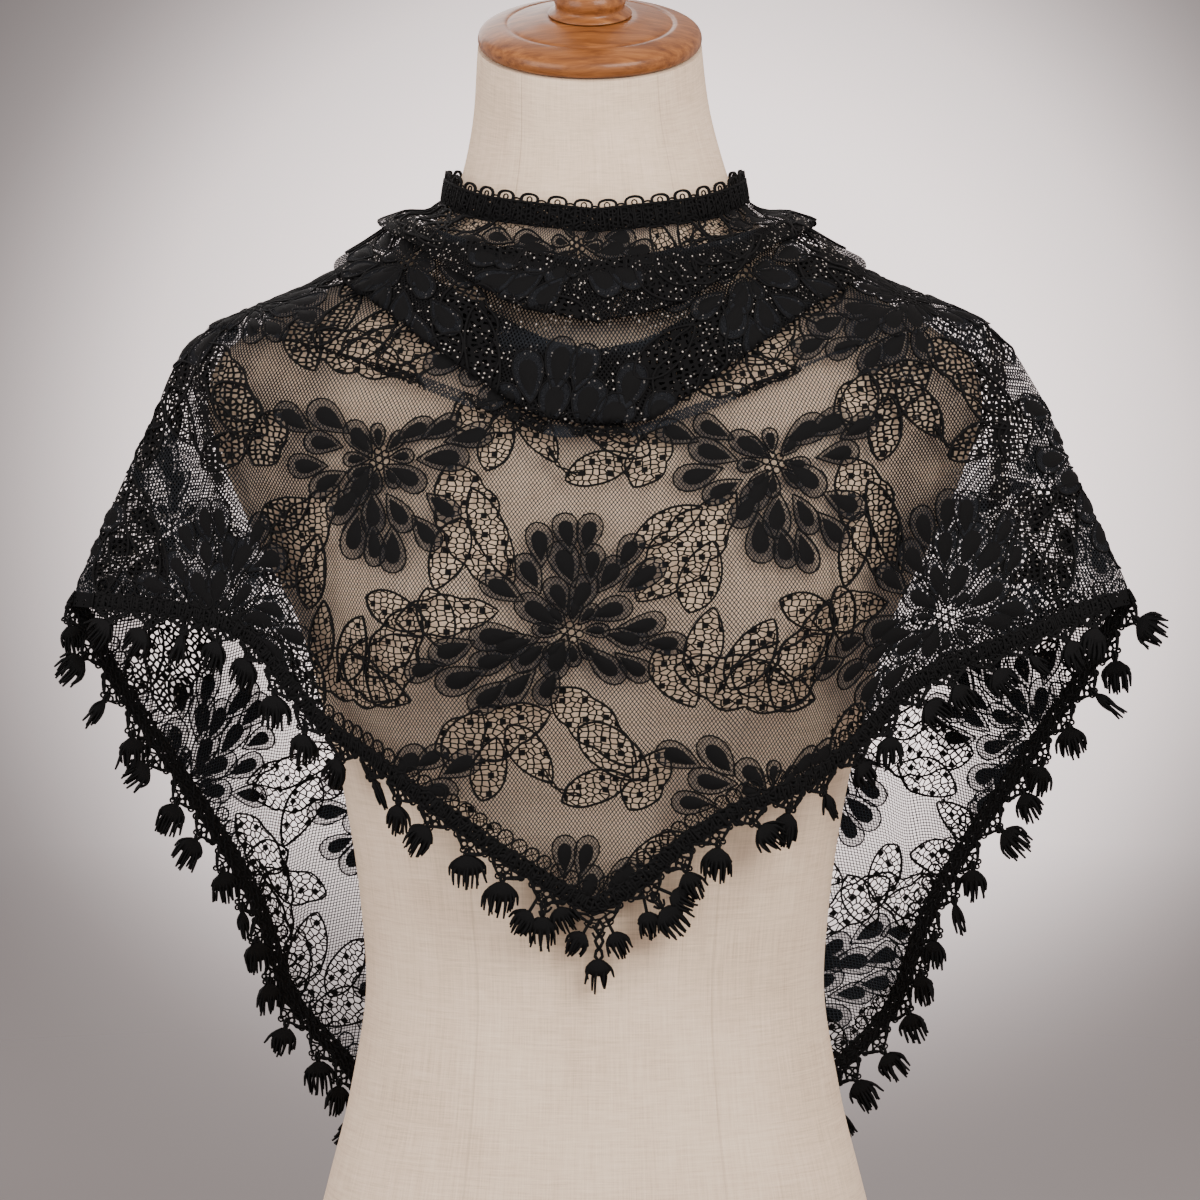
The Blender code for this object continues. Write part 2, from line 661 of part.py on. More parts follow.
def turned(name, profile, sides, material):
    """A turned wooden piece on the neck's tilted axis: profile rows are radius and height above the neck."""
    cos_tilt = 1 / math.hypot(1, NECK_TILT)
    sin_tilt = NECK_TILT * cos_tilt
    points = []

    def tilted(x, y, h):
        return np.array([x + NECK_SHIFT, y * cos_tilt - h * sin_tilt, NECK_TOP + y * sin_tilt + h * cos_tilt])

    rings = [row for row in profile if row["radius"] > 0]
    for row in rings:
        for k in range(sides):
            turn = 2 * math.pi * k / sides
            points.append(tilted(row["radius"] * math.cos(turn), row["radius"] * math.sin(turn), row["height"]))
    faces = [tuple(range(sides)), tuple(range(len(points) - sides, len(points)))]
    for row in range(len(rings) - 1):
        for k in range(sides):
            a, b = row * sides + k, row * sides + (k + 1) % sides
            faces.append((a, b, b + sides, a + sides))
    made = mesh_object(name, points, faces, material)
    made.data.shade_smooth()
    made.data.set_sharp_from_angle(angle=math.radians(50))
    return made


CAP_PROFILE = (
    {"radius": 53.8, "height": 0.6},
    {"radius": 55.4, "height": 2.6},
    {"radius": 55.6, "height": 5.5},
    {"radius": 54.2, "height": 8.6},
    {"radius": 49.0, "height": 11.0},
    {"radius": 43.0, "height": 12.2},
    {"radius": 30.0, "height": 15.2},
    {"radius": 22.0, "height": 16.6},
)
FINIAL_PROFILE = (
    {"radius": 19.0, "height": 17.0},
    {"radius": 20.5, "height": 18.6},
    {"radius": 17.0, "height": 20.4},
    {"radius": 18.2, "height": 24.5},
    {"radius": 16.6, "height": 29.0},
    {"radius": 12.6, "height": 31.6},
    {"radius": 15.4, "height": 33.4},
    {"radius": 12.0, "height": 35.4},
    {"radius": 9.0, "height": 42.0},
    {"radius": 9.6, "height": 48.0},
    {"radius": 15.0, "height": 55.0},
    {"radius": 17.0, "height": 62.0},
    {"radius": 14.0, "height": 69.0},
    {"radius": 6.0, "height": 73.0},
)


def build():
    for old in list(bpy.data.objects):
        bpy.data.objects.remove(old)
    lace, trim = material_of(BLACK_LACE), material_of(BLACK_TRIM)
    linen, wood = material_of(LINEN), material_of(WOOD)

    dress_form_body(linen)
    turned("form_cap", CAP_PROFILE, 32, wood)
    turned("form_finial", FINIAL_PROFILE, 16, wood)

    front_angles = spread_angles(0, 90, FRONT_COLUMNS // 2)
    back_angles = spread_angles(90, SLIT_ANGLE["neck"], BACK_COLUMNS)
    half = np.concatenate([front_angles, back_angles[1:]])
    angles = np.concatenate([-half[:0:-1], half])
    cloth = lay_columns(angles)
    flat = flatten(cloth)
    first, last = BACK_COLUMNS, BACK_COLUMNS + FRONT_COLUMNS
    front = cloth[first : last + 1]
    left, right = cloth[: first + 1].copy(), cloth[last:].copy()
    left[-1, :, 1] += SEAM_GAP
    right[0, :, 1] += SEAM_GAP
    lace_panel("lace_front", front, flat[first : last + 1], (0, -1), lace)
    lace_panel("lace_back_left", left, flat[: first + 1], (-1,), lace)
    lace_panel("lace_back_right", right, flat[last:], (0,), lace)

    tassel_trim("trim_front", front[:, -1], front[:, -2], trim, FRONT_COLUMNS // 2)
    tassel_trim("trim_back_left", left[::-1, -1], left[::-1, -2], trim)
    tassel_trim("trim_back_right", right[:, -1], right[:, -2], trim)

    top_edge = np.concatenate([left[:, 0], front[:, 0], right[:, 0]])
    under_edge = top_edge * np.array([1.02, 1.02, 1]) - np.array([0, 0, 10])
    picot_edging("picot_neck", top_edge, under_edge, NECK_BAND_HEIGHT, trim)
    picot_edging("picot_back_left", left[0], left[1], BACK_BAND_WIDTH, trim)
    picot_edging("picot_back_right", right[-1], right[-2], BACK_BAND_WIDTH, trim)


build()
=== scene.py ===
"""The looks of a black lace mantilla worn on a limbless dress form.

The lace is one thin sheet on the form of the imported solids, with its cowl folds, pleats and creases. Its net
is cut by the material. Flowers and leaves are meshes that are laid out in the flat cloth and carried onto it.
Picots, rings and tassels are meshes that follow the cloth's edges. Places are in millimetres and are scaled
to metres where a mesh is made. The front faces -Y and +Z is up.
"""

import math

import bpy
import numpy as np
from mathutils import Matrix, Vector
from mathutils.bvhtree import BVHTree

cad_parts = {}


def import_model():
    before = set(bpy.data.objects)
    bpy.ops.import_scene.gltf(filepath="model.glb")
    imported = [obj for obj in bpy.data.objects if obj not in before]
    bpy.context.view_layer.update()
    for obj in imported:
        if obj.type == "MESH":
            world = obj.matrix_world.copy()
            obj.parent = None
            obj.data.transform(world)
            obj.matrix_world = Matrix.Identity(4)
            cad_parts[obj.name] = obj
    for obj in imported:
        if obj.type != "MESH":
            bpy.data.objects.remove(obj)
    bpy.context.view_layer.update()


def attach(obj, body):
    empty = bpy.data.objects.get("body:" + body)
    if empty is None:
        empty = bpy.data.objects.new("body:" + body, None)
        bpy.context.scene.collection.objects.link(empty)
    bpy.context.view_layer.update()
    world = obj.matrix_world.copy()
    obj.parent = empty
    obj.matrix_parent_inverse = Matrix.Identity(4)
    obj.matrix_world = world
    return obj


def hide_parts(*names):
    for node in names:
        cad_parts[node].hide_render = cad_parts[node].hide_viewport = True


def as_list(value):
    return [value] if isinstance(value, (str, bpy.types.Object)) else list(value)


MM = 0.001
SEED = 7
SIDES = ("front", "back_left", "back_right")


def table(columns, *rows):
    """Rows of values, each read by its column's name."""
    names = columns.split()
    return [dict(zip(names, row)) for row in rows]


# Sizes shared with the solids, mm.
BODY_CLEARANCE = 5.5
SHOULDER_LIFT = 4.0
LEAN = 0.12
LAYER_PITCH = 2.8
TASSEL_PITCH = 22.0
PICOT_PITCH = 13.4
NECK_BAND_HEIGHT = 12.0
BACK_BAND_WIDTH = 6.0
NECK_TILT = math.tan(math.radians(19.5))
NECK_TOP = 728.0
NECK_SHIFT = -2.5
COLUMN_LEVEL = 520.0

# How finely the cloth is divided. Each of its lines is made of stops, and its corners are then cut twice.
FRONT_COLUMNS = 160
BACK_COLUMNS = 80
FLAT_COLUMN_STEP = 8
FOLD_STEPS = (3, 3, 1, 5, 1, 4, 4, 1, 6, 1, 4, 1, 1, 1)
HANGING_STEPS = 28

# The dress form's level sections: half width, depth in front and behind, and the squareness of the oval.
BODY_SECTIONS = table(
    "z side front back square",
    (0, 156, 90, 106, 2.2),
    (60, 155, 92, 110, 2.2),
    (110, 147, 94, 107, 2.2),
    (158, 135, 92, 98, 2.2),
    (207, 123, 87, 85, 2.1),
    (263, 115, 83, 76, 2.1),
    (305, 118, 86, 77, 2.1),
    (358, 126, 93, 82, 2.1),
    (400, 136, 99, 87, 2.1),
    (443, 148, 104, 92, 2.1),
    (481, 167, 102, 95, 2.1),
    (522, 185, 95, 96, 2.1),
    (552, 193, 87, 93, 2.1),
    (572, 188, 81, 89, 2.0),
    (592, 163, 76, 84, 2.0),
    (612, 125, 71, 79, 2.0),
    (632, 92, 66, 73, 2.0),
    (650, 72, 61, 67, 2.0),
    (671, 64, 57, 61, 2.0),
    (700, 58, 54, 57, 2.0),
    (728, 55.5, 53, 55, 2.0),
)
BUST = {"angle": 38.0, "spread": 22.0, "z": 440.0, "above": 60.0, "below": 42.0, "rise": 19.0}

# Where the worn lace stands out to each side, from the neck down to the corner of the hem.
SIDE_REACH = table(
    "z left right",
    (60, 250, 255),
    (300, 258, 264),
    (453, 260, 267),
    (483, 247, 255),
    (523, 230, 236),
    (548, 217, 225),
    (566, 209, 214),
    (580, 200, 205),
    (592, 183, 193),
    (604, 150, 162),
    (618, 124, 131),
    (630, 105, 108),
    (641, 90, 92),
    (651, 81, 82),
    (662, 77, 77),
)
DRAPE_DEPTH = {"neck": 70.0, "shoulder": 96.0}
DRAPE_SQUARE = {"neck": 2.0, "shoulder": 1.28}
SHOULDER_LEVELS = (560.0, 640.0)

# The neck opening that the picot edging stands on, and the lace's top edge under it.
NECK_RING = {"side": 76.0, "front": 71.0, "back": 75.0}
NECK_EDGE = table(
    "angle z",
    (0, 636), (45, 642), (90, 651), (168, 650),
)
SLIT_ANGLE = {"neck": 168.0, "tip": 147.0}
SLANT_FROM = 100.0

# The hem's height round the body, from the point in front to the tip that hangs behind.
HEM = table(
    "angle left right",
    (0, 316, 316),
    (11, 327, 328),
    (20, 339, 345),
    (35, 365, 367),
    (50, 387, 378),
    (60, 397, 392),
    (64, 406, 403),
    (68, 421, 416),
    (72, 441, 425),
    (78, 452, 437),
    (84, 456, 450),
    (90, 457, 458),
    (94, 413, 416),
    (99, 361, 364),
    (107, 286, 289),
    (111, 244, 248),
    (118, 206, 209),
    (131, 143, 146),
    (147, 80, 82),
)

# The cowl's two folds: the height of each lip round the neck, and how far the cloth doubles back over it.
UPPER_FOLD = table(
    "angle lip overlap",
    (0, 590, 31),
    (20, 597, 28),
    (40, 612, 17),
    (60, 626, 9),
    (90, 633, 6),
    (104, 633, 1),
)
LOWER_FOLD = table(
    "angle lip overlap",
    (0, 543, 37),
    (12, 546, 38),
    (25, 557, 36),
    (40, 576, 29),
    (60, 600, 19),
    (90, 619, 8),
    (104, 622, 1),
)
FOLDS_END = (100.0, 165.0)

# The narrow tuck that runs from shoulder to shoulder under the lower fold.
TUCK = table(
    "angle lip overlap",
    (-80, 588, 0.7),
    (-64, 578, 1.5),
    (-45, 562, 5.5),
    (-25, 548, 6.0),
    (-8, 539, 5.0),
    (8, 539, 4.5),
    (24, 547, 5.5),
    (44, 562, 4.0),
    (60, 578, 1.2),
    (78, 590, 0.7),
)
TUCK_PITCH = 0.8

# Soft upright pleats of the hanging cloth: where each runs, its width in degrees and how far it stands out.
PLEATS = table(
    "angle spread rise from_z",
    (-128, 5.0, 7.0, 560),
    (-111, 4.0, 6.0, 540),
    (-76, 5.0, 5.0, 520),
    (81, 3.5, 7.0, 560),
    (113, 4.0, 7.0, 540),
    (130, 5.0, 6.0, 560),
)

# Creases: each runs from one angle and height to another, has a width and stands out so far.
CREASES = table(
    "from to width rise",
    ((-62, 580), (-26, 552), 5.0, 3.4),
    ((-26, 552), (2, 536), 5.0, 3.0),
    ((-60, 566), (-22, 537), 6.0, -2.2),
    ((-58, 560), (-34, 520), 5.0, 1.8),
    ((60, 584), (28, 556), 5.0, 3.4),
    ((28, 556), (-2, 538), 5.0, 2.6),
    ((56, 566), (24, 536), 6.0, -2.0),
    ((64, 566), (44, 500), 6.0, 1.6),
    ((-84, 572), (-70, 440), 5.0, 3.2),
    ((-96, 560), (-90, 470), 6.0, 2.4),
    ((84, 560), (76, 440), 5.0, 3.2),
    ((97, 566), (93, 470), 6.0, 2.6),
    ((-10, 500), (-30, 420), 9.0, 1.2),
    ((16, 480), (34, 400), 8.0, 1.2),
    ((-150, 620), (-122, 470), 7.0, 3.0),
    ((-120, 590), (-104, 420), 6.0, 2.6),
    ((-140, 500), (-126, 260), 6.0, 2.8),
    ((146, 620), (124, 500), 7.0, 3.0),
    ((118, 580), (103, 430), 6.0, 2.6),
    ((140, 470), (122, 240), 6.0, 2.8),
)
CREASE_REACH_SCALE = 2.6

# The lace's repeat in the flat: its size and the middle of the flower that fans upwards.
REPEAT = {"across": 188.0, "down": 162.0, "start_across": -12.0, "start_down": 333.0}
FLOWER_MIDDLE = 6.4

# Petals of the two flowers, from each flower's middle, in rows from its top to its bottom.
UP_FLOWER = (
    (-3, -50), (7, -49), (-15, -43), (25, -41), (-3, -34), (9, -34), (17, -29), (31, -28),
    (-19, -28), (-31, -20), (-6, -18), (4, -18), (-14, -9), (17, -11), (31, -4), (24, 2), (41, 6),
    (28, 16), (15, 16), (-6, 12), (-33, 3), (-53, 10), (-66, 20), (-35, 15), (-49, 24), (-37, 32),
    (-24, 27), (-10, 27), (-18, 12), (-26, 7),
)
DOWN_FLOWER = (
    (-44, -18), (-26, -19), (-28, -7), (-10, -9), (16, -14), (28, -17), (42, -14), (31, -2),
    (-25, 12), (-15, 22), (-1, 26), (12, 26), (33, 22), (26, 35), (-10, 37), (1, 42), (11, 44),
    (-36, 4), (14, 8), (-8, 13),
)

# Openwork round the flowers: broad ribbons with scalloped edges, and the leaves that cross them. Each has its
# middle from the upward flower's, its length, width and lean, and how many scallops each side has.
LEAVES = table(
    "across down long wide lean scallops",
    (-46, -50, 68, 31, 66, 4),
    (-37, -46, 51, 15, 64, 0),
    (-56, -36, 37, 17, 106, 0),
    (52, -42, 68, 29, -48, 4),
    (43, -53, 35, 15, -26, 0),
    (57, -26, 37, 18, -72, 0),
    (-82, 14, 57, 28, -62, 3),
    (-80, -7, 35, 16, 22, 0),
    (-56, -6, 48, 20, -8, 3),
    (-60, -4, 31, 16, 72, 0),
    (-101, 27, 37, 19, 30, 2),
    (-36, 50, 57, 28, -20, 3),
    (-49, 54, 33, 17, -62, 0),
    (-38, 68, 32, 16, -76, 0),
    (-19, 61, 35, 16, 55, 0),
    (11, 47, 55, 22, 44, 3),
    (20, 60, 40, 21, 36, 0),
    (12, 78, 35, 16, -22, 0),
    (36, 73, 33, 21, -60, 2),
    (80, 27, 70, 27, 14, 4),
    (47, 23, 35, 19, 58, 0),
    (59, 6, 35, 16, -78, 0),
    (80, 12, 37, 19, -62, 0),
    (103, 14, 37, 18, -30, 2),
)

# Looped chains that join the leaves, each from one place to another with how far it bows.
CHAINS = table(
    "from to bow",
    ((-13, 68), (5, 82), 4),
    ((66, 30), (92, 6), -5),
)

# Radii of the cords in the lace, their lift off the net, and how near the cloth a motif has to be, mm.
LEAF_CORD = 0.7
PETAL_CORD = 0.52
CHAIN_CORD = 0.6
RING_CORD = 0.5
LIFT = 0.45
ON_CLOTH = 0.5
PETAL = {"long": 24.0, "wide": 14.2, "core_long": 16.5, "core_wide": 8.4, "core_back": 0.6, "core_rise": 0.7}
INNER_PETALS = {"count": 8, "far": 11.0, "size": 0.55}
MIDDLE_RINGS = {"count": 6, "far": 3.9, "size": 1.75, "turned": 0.3}

# The net's threads, mm: two families of parallel ones, the net inside the leaves and the dots on it. A pair
# is the distance from a thread's middle where it is whole and the one where it has gone.
NET = {"leans": (34.7, 145.3), "pitch": 1.48, "knot": 0.42, "thread": (0.16, 0.25), "closer": 0.155}
LEAF_NET = {"stretch": (0.88, 1.22, 1.0), "scale": 0.32, "uneven": 0.7, "thread": (0.10, 0.15)}
LEAF_DOTS = {"scale": 0.112, "uneven": 0.6, "edge": (0.15, 0.18)}
FLOWER_HOLE = 0.9

# Painted light: pale specks painted on the threads of the gathered cloth, where the holes of its layers line
# up.
PAINTED_LIGHT_SPECKS = {"scale": 0.42, "edge": (0.13, 0.2), "chosen": (0.62, 0.8), "gathered": (0.5, 0.9)}
PAINTED_LIGHT_COLOUR = (0.42, 0.38, 0.34, 1)

# Where the net is drawn together outside the cowl: beside the arms, in degrees from the front, and along a
# crease down each arm, mm from the middle.
# Painted shade: the net's threads are also painted darker here, as in the cowl.
BESIDE_ARM = {"share": 0.62, "from": (58, 68), "to": (98, 108)}
ARM_CREASE = {"left": 195.0, "left_slope": 0.21, "left_z": 563.0, "right": 199.0, "width": 4.6, "share": 2.5}

# Colours as linear red, green and blue, and how little the matt threads reflect. The net is greyer where it
# hangs as one layer than in the leaves and in the gathered cloth, where its black is painted shade of the
# folds.
THREAD_SPECULAR = 0.12
NET_BLACK = (0.0025, 0.0025, 0.0026)
# Painted shade: the black of the net's threads in gathered cloth, also used in the leaves.
PAINTED_SHADE_AND_LEAF_BLACK = (0.0022, 0.0022, 0.0023, 1)
NET_GREYS = ((0.3, (0.011, 0.0135, 0.017)), (0.7, (0.015, 0.018, 0.022)))
FILL_GREY = (0.014, 0.0155, 0.018)
FILL_GREYS = ((0.3, (0.011, 0.0122, 0.0145)), (0.7, (0.018, 0.0198, 0.023)))
BAND_BLACK = (0.0022, 0.0022, 0.0023)
LINEN = (0.70, 0.57, 0.43)
LINEN_TONES = ((0.36, (0.54, 0.40, 0.275)), (0.5, (0.765, 0.59, 0.42)), (0.64, (0.91, 0.73, 0.55)))
SEAM_COLOUR = (0.42, 0.32, 0.23, 1)
WOOD = (0.42, 0.16, 0.045)
WOOD_TONES = (
    (0.30, (0.10, 0.03, 0.007)),
    (0.44, (0.18, 0.06, 0.014)),
    (0.56, (0.25, 0.088, 0.022)),
    (0.70, (0.33, 0.13, 0.036)),
)

# Where the linen's seams run, mm round the form from its middle back.
SEAMS = {"half_way_round": 471.2, "first": 99.5, "apart": 136.1}

# The tassel trim: its band and ground off the hem, and the row of rings inside the hem.
TRIM_BAND = {"near": -0.6, "far": 7.2}
TRIM_RINGS = {"pitch": 7.6, "away": -3.9, "size": (3.3, 4.0), "cord": 0.58}
RING_BARS = {"leans": (-0.9, 0.1, 0.9), "cord": 0.3}

# The webs and tassels under the trim's band. A pair is the least and the most that chance may draw.
WEB = {"near": 6.4, "deep": (10.5, 12.5), "swag": (2.6, 4.2)}
WEB_CORDS = {"outer": 0.95, "swag": 0.72, "bow": 0.6}
TASSEL = {
    "root": 11.0,
    "lean": 0.75,
    "stalk": (2.5, 5.5),
    "near_stalk": (8.5, 10.5),
    "point_stalk": 19.0,
    "long": (14.5, 17.5),
    "wide": (0.38, 0.52),
    "threads": 15,
    "slim": 0.17,
    "slim_threads": 8,
    "slim_every": 6,
}
SIDE_TASSEL = {
    "lean": (0.88, 0.47),
    "aside": 3.0,
    "back": 2.0,
    "stalk": (7.0, 10.0),
    "cord": 1.0,
    "long": 13.5,
    "wide": 5.8,
    "threads": 13,
    "webs": (0.45, 0.85),
    "web_cord": 0.75,
}

# The picot edging's loops: half their width, how far their feet draw in, and their cords.
PICOT = {"half": 4.2, "pinch": 0.9, "cord": 0.85, "eye": 1.35, "eye_cord": 0.45}
SMALL_PICOT = {"half": 2.9, "rise": 1.9, "cord": 0.6}

CAMERA = {"lens": 144.0, "sensor": 36.0, "distance": 2.4, "elevation": 4.5, "aim": (0.0025, 0.0, 0.453)}


def smooth_read(rows, key, name, at):
    """Reads column name of a table at key values at, on a smooth curve that never overshoots its rows."""
    keys = np.array([row[key] for row in rows], float)
    values = np.array([row[name] for row in rows], float)
    steps = np.diff(values) / np.diff(keys)
    before, after = np.append(steps[0], steps), np.append(steps, steps[-1])
    same_way = before * after > 0
    slopes = np.where(same_way, 2 * before * after / np.where(same_way, before + after, 1), 0)
    at = np.clip(np.asarray(at, float), keys[0], keys[-1])
    low = np.clip(np.searchsorted(keys, at) - 1, 0, len(keys) - 2)
    span = keys[low + 1] - keys[low]
    t = (at - keys[low]) / span
    return (
        (2 * t**3 - 3 * t**2 + 1) * values[low]
        + (t**3 - 2 * t**2 + t) * span * slopes[low]
        + (3 * t**2 - 2 * t**3) * values[low + 1]
        + (t**3 - t**2) * span * slopes[low + 1]
    )


def oval_radius(angle, side, front, back, square):
    """The radius of a level oval at an angle in degrees from the front."""
    turn = np.radians(angle)
    depth = np.where(np.cos(turn) >= 0, front, back)
    return (np.abs(np.sin(turn) / side) ** square + np.abs(np.cos(turn) / depth) ** square) ** (-1 / square)


def body_radius(angle, z):
    """The dress form's radius at an angle from the front and a height."""
    section = {name: smooth_read(BODY_SECTIONS, "z", name, z) for name in ("side", "front", "back", "square")}
    radius = oval_radius(angle, section["side"], section["front"], section["back"], section["square"])
    reach = np.where(z > BUST["z"], BUST["above"], BUST["below"])
    bell = np.exp(-(((np.abs(angle) - BUST["angle"]) / BUST["spread"]) ** 2) - ((z - BUST["z"]) / reach) ** 2)
    return radius + BUST["rise"] * bell


HANG_ANGLES = np.linspace(0, 180, 91)
HANG_LEVELS = np.arange(0, 701, 5.0)


def hanging_table():
    """How far cloth stands out where it hangs from whatever part of the form sticks out above it."""
    reach = np.zeros((len(HANG_ANGLES), len(HANG_LEVELS)))
    grid_angle, grid_z = np.meshgrid(HANG_ANGLES, HANG_LEVELS, indexing="ij")
    radii = body_radius(grid_angle, grid_z)
    for j, z in enumerate(HANG_LEVELS):
        above = HANG_LEVELS >= z - SHOULDER_LIFT
        drop = np.maximum(0, HANG_LEVELS[above] - z)
        reach[:, j] = (radii[:, above] + BODY_CLEARANCE - LEAN * drop).max(axis=1)
    return reach


HANGING = hanging_table()


def hanging_radius(angle, z):
    """HANGING between its angles and levels."""
    across = np.interp(np.abs(angle), HANG_ANGLES, np.arange(len(HANG_ANGLES)))
    up = np.interp(z, HANG_LEVELS, np.arange(len(HANG_LEVELS)))
    i = np.minimum(across.astype(int), len(HANG_ANGLES) - 2)
    j = np.minimum(up.astype(int), len(HANG_LEVELS) - 2)
    a, b = across - i, up - j
    return (
        HANGING[i, j] * (1 - a) * (1 - b)
        + HANGING[i + 1, j] * a * (1 - b)
        + HANGING[i, j + 1] * (1 - a) * b
        + HANGING[i + 1, j + 1] * a * b
    )


def share(low, high, value):
    """0 at low, 1 at high, turning smoothly between."""
    t = np.clip((np.asarray(value, float) - low) / (high - low), 0, 1)
    return t * t * (3 - 2 * t)


def crease_rise(angle, z):
    """How far the listed creases move the cloth out."""
    rise = np.zeros_like(angle)
    for crease in CREASES:
        start = np.array([crease["from"][0] * CREASE_REACH_SCALE, crease["from"][1]])
        way = np.array([crease["to"][0] * CREASE_REACH_SCALE, crease["to"][1]]) - start
        length = np.linalg.norm(way)
        way = way / length
        across, up = angle * CREASE_REACH_SCALE - start[0], z - start[1]
        along = across * way[0] + up * way[1]
        aside = across * way[1] - up * way[0]
        ends = share(-0.15 * length, 0.25 * length, along) * (1 - share(0.75 * length, 1.15 * length, along))
        rise += crease["rise"] * ends * np.exp(-((aside / crease["width"]) ** 2))
    return rise


def cloth_radius(angle, z):
    """How far the cloth stands from the upright axis, before the cowl's folds."""
    angle, z = np.broadcast_arrays(np.asarray(angle, float), np.asarray(z, float))
    left, right = (smooth_read(SIDE_REACH, "z", side, z) for side in ("left", "right"))
    reach = np.where(angle < 0, left, right)
    up = share(*SHOULDER_LEVELS, z)
    depth = DRAPE_DEPTH["shoulder"] + (DRAPE_DEPTH["neck"] - DRAPE_DEPTH["shoulder"]) * up
    square = DRAPE_SQUARE["shoulder"] + (DRAPE_SQUARE["neck"] - DRAPE_SQUARE["shoulder"]) * up
    drape = oval_radius(angle, reach, depth, depth, square)
    hang = hanging_radius(angle, z)
    blend = 20
    radius = (drape**blend + hang**blend) ** (1 / blend)
    for pleat in PLEATS:
        fall = share(pleat["from_z"], pleat["from_z"] - 150, z)
        radius = radius + pleat["rise"] * fall * np.exp(-(((angle - pleat["angle"]) / pleat["spread"]) ** 2))
    return radius + crease_rise(angle, z)


def on_turn(angle, radius, z):
    """Points at an angle from the front, a radius and a height."""
    turn = np.radians(angle)
    return np.stack([radius * np.sin(turn), -radius * np.cos(turn), z], axis=-1)


def spread_angles(low, high, count):
    """Angles between low and high that lie evenly along the cloth at the shoulders."""
    angles = np.linspace(low, high, 400)
    radii = cloth_radius(angles, COLUMN_LEVEL)
    line = np.stack([radii * np.sin(np.radians(angles)), radii * np.cos(np.radians(angles))], axis=1)
    along = np.concatenate([[0], np.cumsum(np.linalg.norm(np.diff(line, axis=0), axis=1))])
    return np.interp(np.linspace(0, along[-1], count + 1), along, angles)


def cut_corners(lines):
    """Cuts the corners of every line once, keeping its ends."""
    near = 0.75 * lines[:, :-1] + 0.25 * lines[:, 1:]
    far = 0.25 * lines[:, :-1] + 0.75 * lines[:, 1:]
    cut = np.stack([near, far], axis=2).reshape(len(lines), -1, lines.shape[-1])
    cut[:, 0], cut[:, -1] = lines[:, 0], lines[:, -1]
    return cut


def lay_cloth(angles):
    """The cloth as a grid of points, [column][row], from the neck edge through the folds to the hem."""
    size = np.abs(angles)
    slant = (SLIT_ANGLE["tip"] - SLANT_FROM) / (SLIT_ANGLE["neck"] - SLANT_FROM)
    slanted = SLANT_FROM + (size - SLANT_FROM) * slant
    end = np.sign(angles) * np.where(size > SLANT_FROM, slanted, size)
    top = smooth_read(NECK_EDGE, "angle", "z", size)
    hem = {side: smooth_read(HEM, "angle", side, np.abs(end)) for side in ("left", "right")}
    bottom = np.where(angles < 0, hem["left"], hem["right"])
    upper, lower = (smooth_read(fold, "angle", "lip", size) for fold in (UPPER_FOLD, LOWER_FOLD))
    upper_top = upper + smooth_read(UPPER_FOLD, "angle", "overlap", size)
    lower_top = lower + smooth_read(LOWER_FOLD, "angle", "overlap", size)
    ring = oval_radius(angles, NECK_RING["side"], NECK_RING["front"], NECK_RING["back"], 2.0)
    start = ring - cloth_radius(angles, top)
    layer = np.full_like(size, LAYER_PITCH)
    tuck, tuck_over = (smooth_read(TUCK, "angle", name, angles) for name in ("lip", "overlap"))
    tuck_layer = np.full_like(size, TUCK_PITCH)
    folded = (
        (top, start),
        (0.5 * (top + upper), 0.25 * start + 3 * layer),
        (upper, 4 * layer),
        (upper, 3 * layer),
        (upper_top, 3 * layer),
        (upper_top, 2 * layer),
        (0.5 * (upper_top + lower), 2 * layer),
        (lower, 2 * layer),
        (lower, layer),
        (lower_top, layer),
        (lower_top, 0 * layer),
        (tuck, tuck_layer * 2),
        (tuck, tuck_layer),
        (tuck + tuck_over, tuck_layer),
        (tuck + tuck_over, 0 * layer),
    )
    heights = np.stack([z for z, _ in folded], axis=1)
    offsets = np.stack([offset for _, offset in folded], axis=1)
    hanging = len(folded) - 1 + 15
    plain = top[:, None] - np.arange(len(folded)) * ((top - bottom) / hanging)[:, None]
    fade = share(*FOLDS_END, size)[:, None]
    heights = heights + (plain - heights) * fade
    offsets[:, 1:] = offsets[:, 1:] * (1 - fade)
    at = np.concatenate([k + np.arange(steps) / steps for k, steps in enumerate(FOLD_STEPS)])
    low = at.astype(int)
    part = at - low
    folds = heights[:, low] * (1 - part) + heights[:, low + 1] * part
    fold_offsets = offsets[:, low] * (1 - part) + offsets[:, low + 1] * part
    hung = heights[:, -1:] + (bottom[:, None] - heights[:, -1:]) * np.linspace(0, 1, HANGING_STEPS + 1)
    heights = np.concatenate([folds, hung], axis=1)
    offsets = np.concatenate([fold_offsets, np.zeros_like(hung)], axis=1)
    down = (top[:, None] - np.minimum(heights, top[:, None])) / (top - bottom)[:, None]
    turns = angles[:, None] + (end - angles)[:, None] * down
    step = 2.0
    slope = (cloth_radius(turns, heights + step) - cloth_radius(turns, heights - step)) / (2 * step)
    length = np.hypot(1, slope)
    radii = cloth_radius(turns, heights) + offsets / length
    levels = heights - offsets * slope / length
    radii[:, 0], levels[:, 0] = ring, top
    return cut_corners(cut_corners(on_turn(turns, radii, levels)))


def grid_index(columns, rows, around=False, closed=False):
    """The numbers of a grid's points. The grid may come back to its first row, or to its first column."""
    index = np.arange(columns * rows).reshape(columns, rows)
    if around:
        index = np.hstack([index, index[:, :1]])
    if closed:
        index = np.vstack([index, index[:1]])
    return index


def grid_quads(index, turned=False):
    """The four corners of every square of a grid, the other way round where turned."""
    a, b, c, d = index[:-1, :-1], index[:-1, 1:], index[1:, 1:], index[1:, :-1]
    return np.stack([a, d, c, b] if turned else [a, b, c, d], -1).reshape(-1, 4)


def halves(quads):
    """Two triangles for every square."""
    return np.concatenate([quads[:, [0, 1, 2]], quads[:, [0, 2, 3]]])


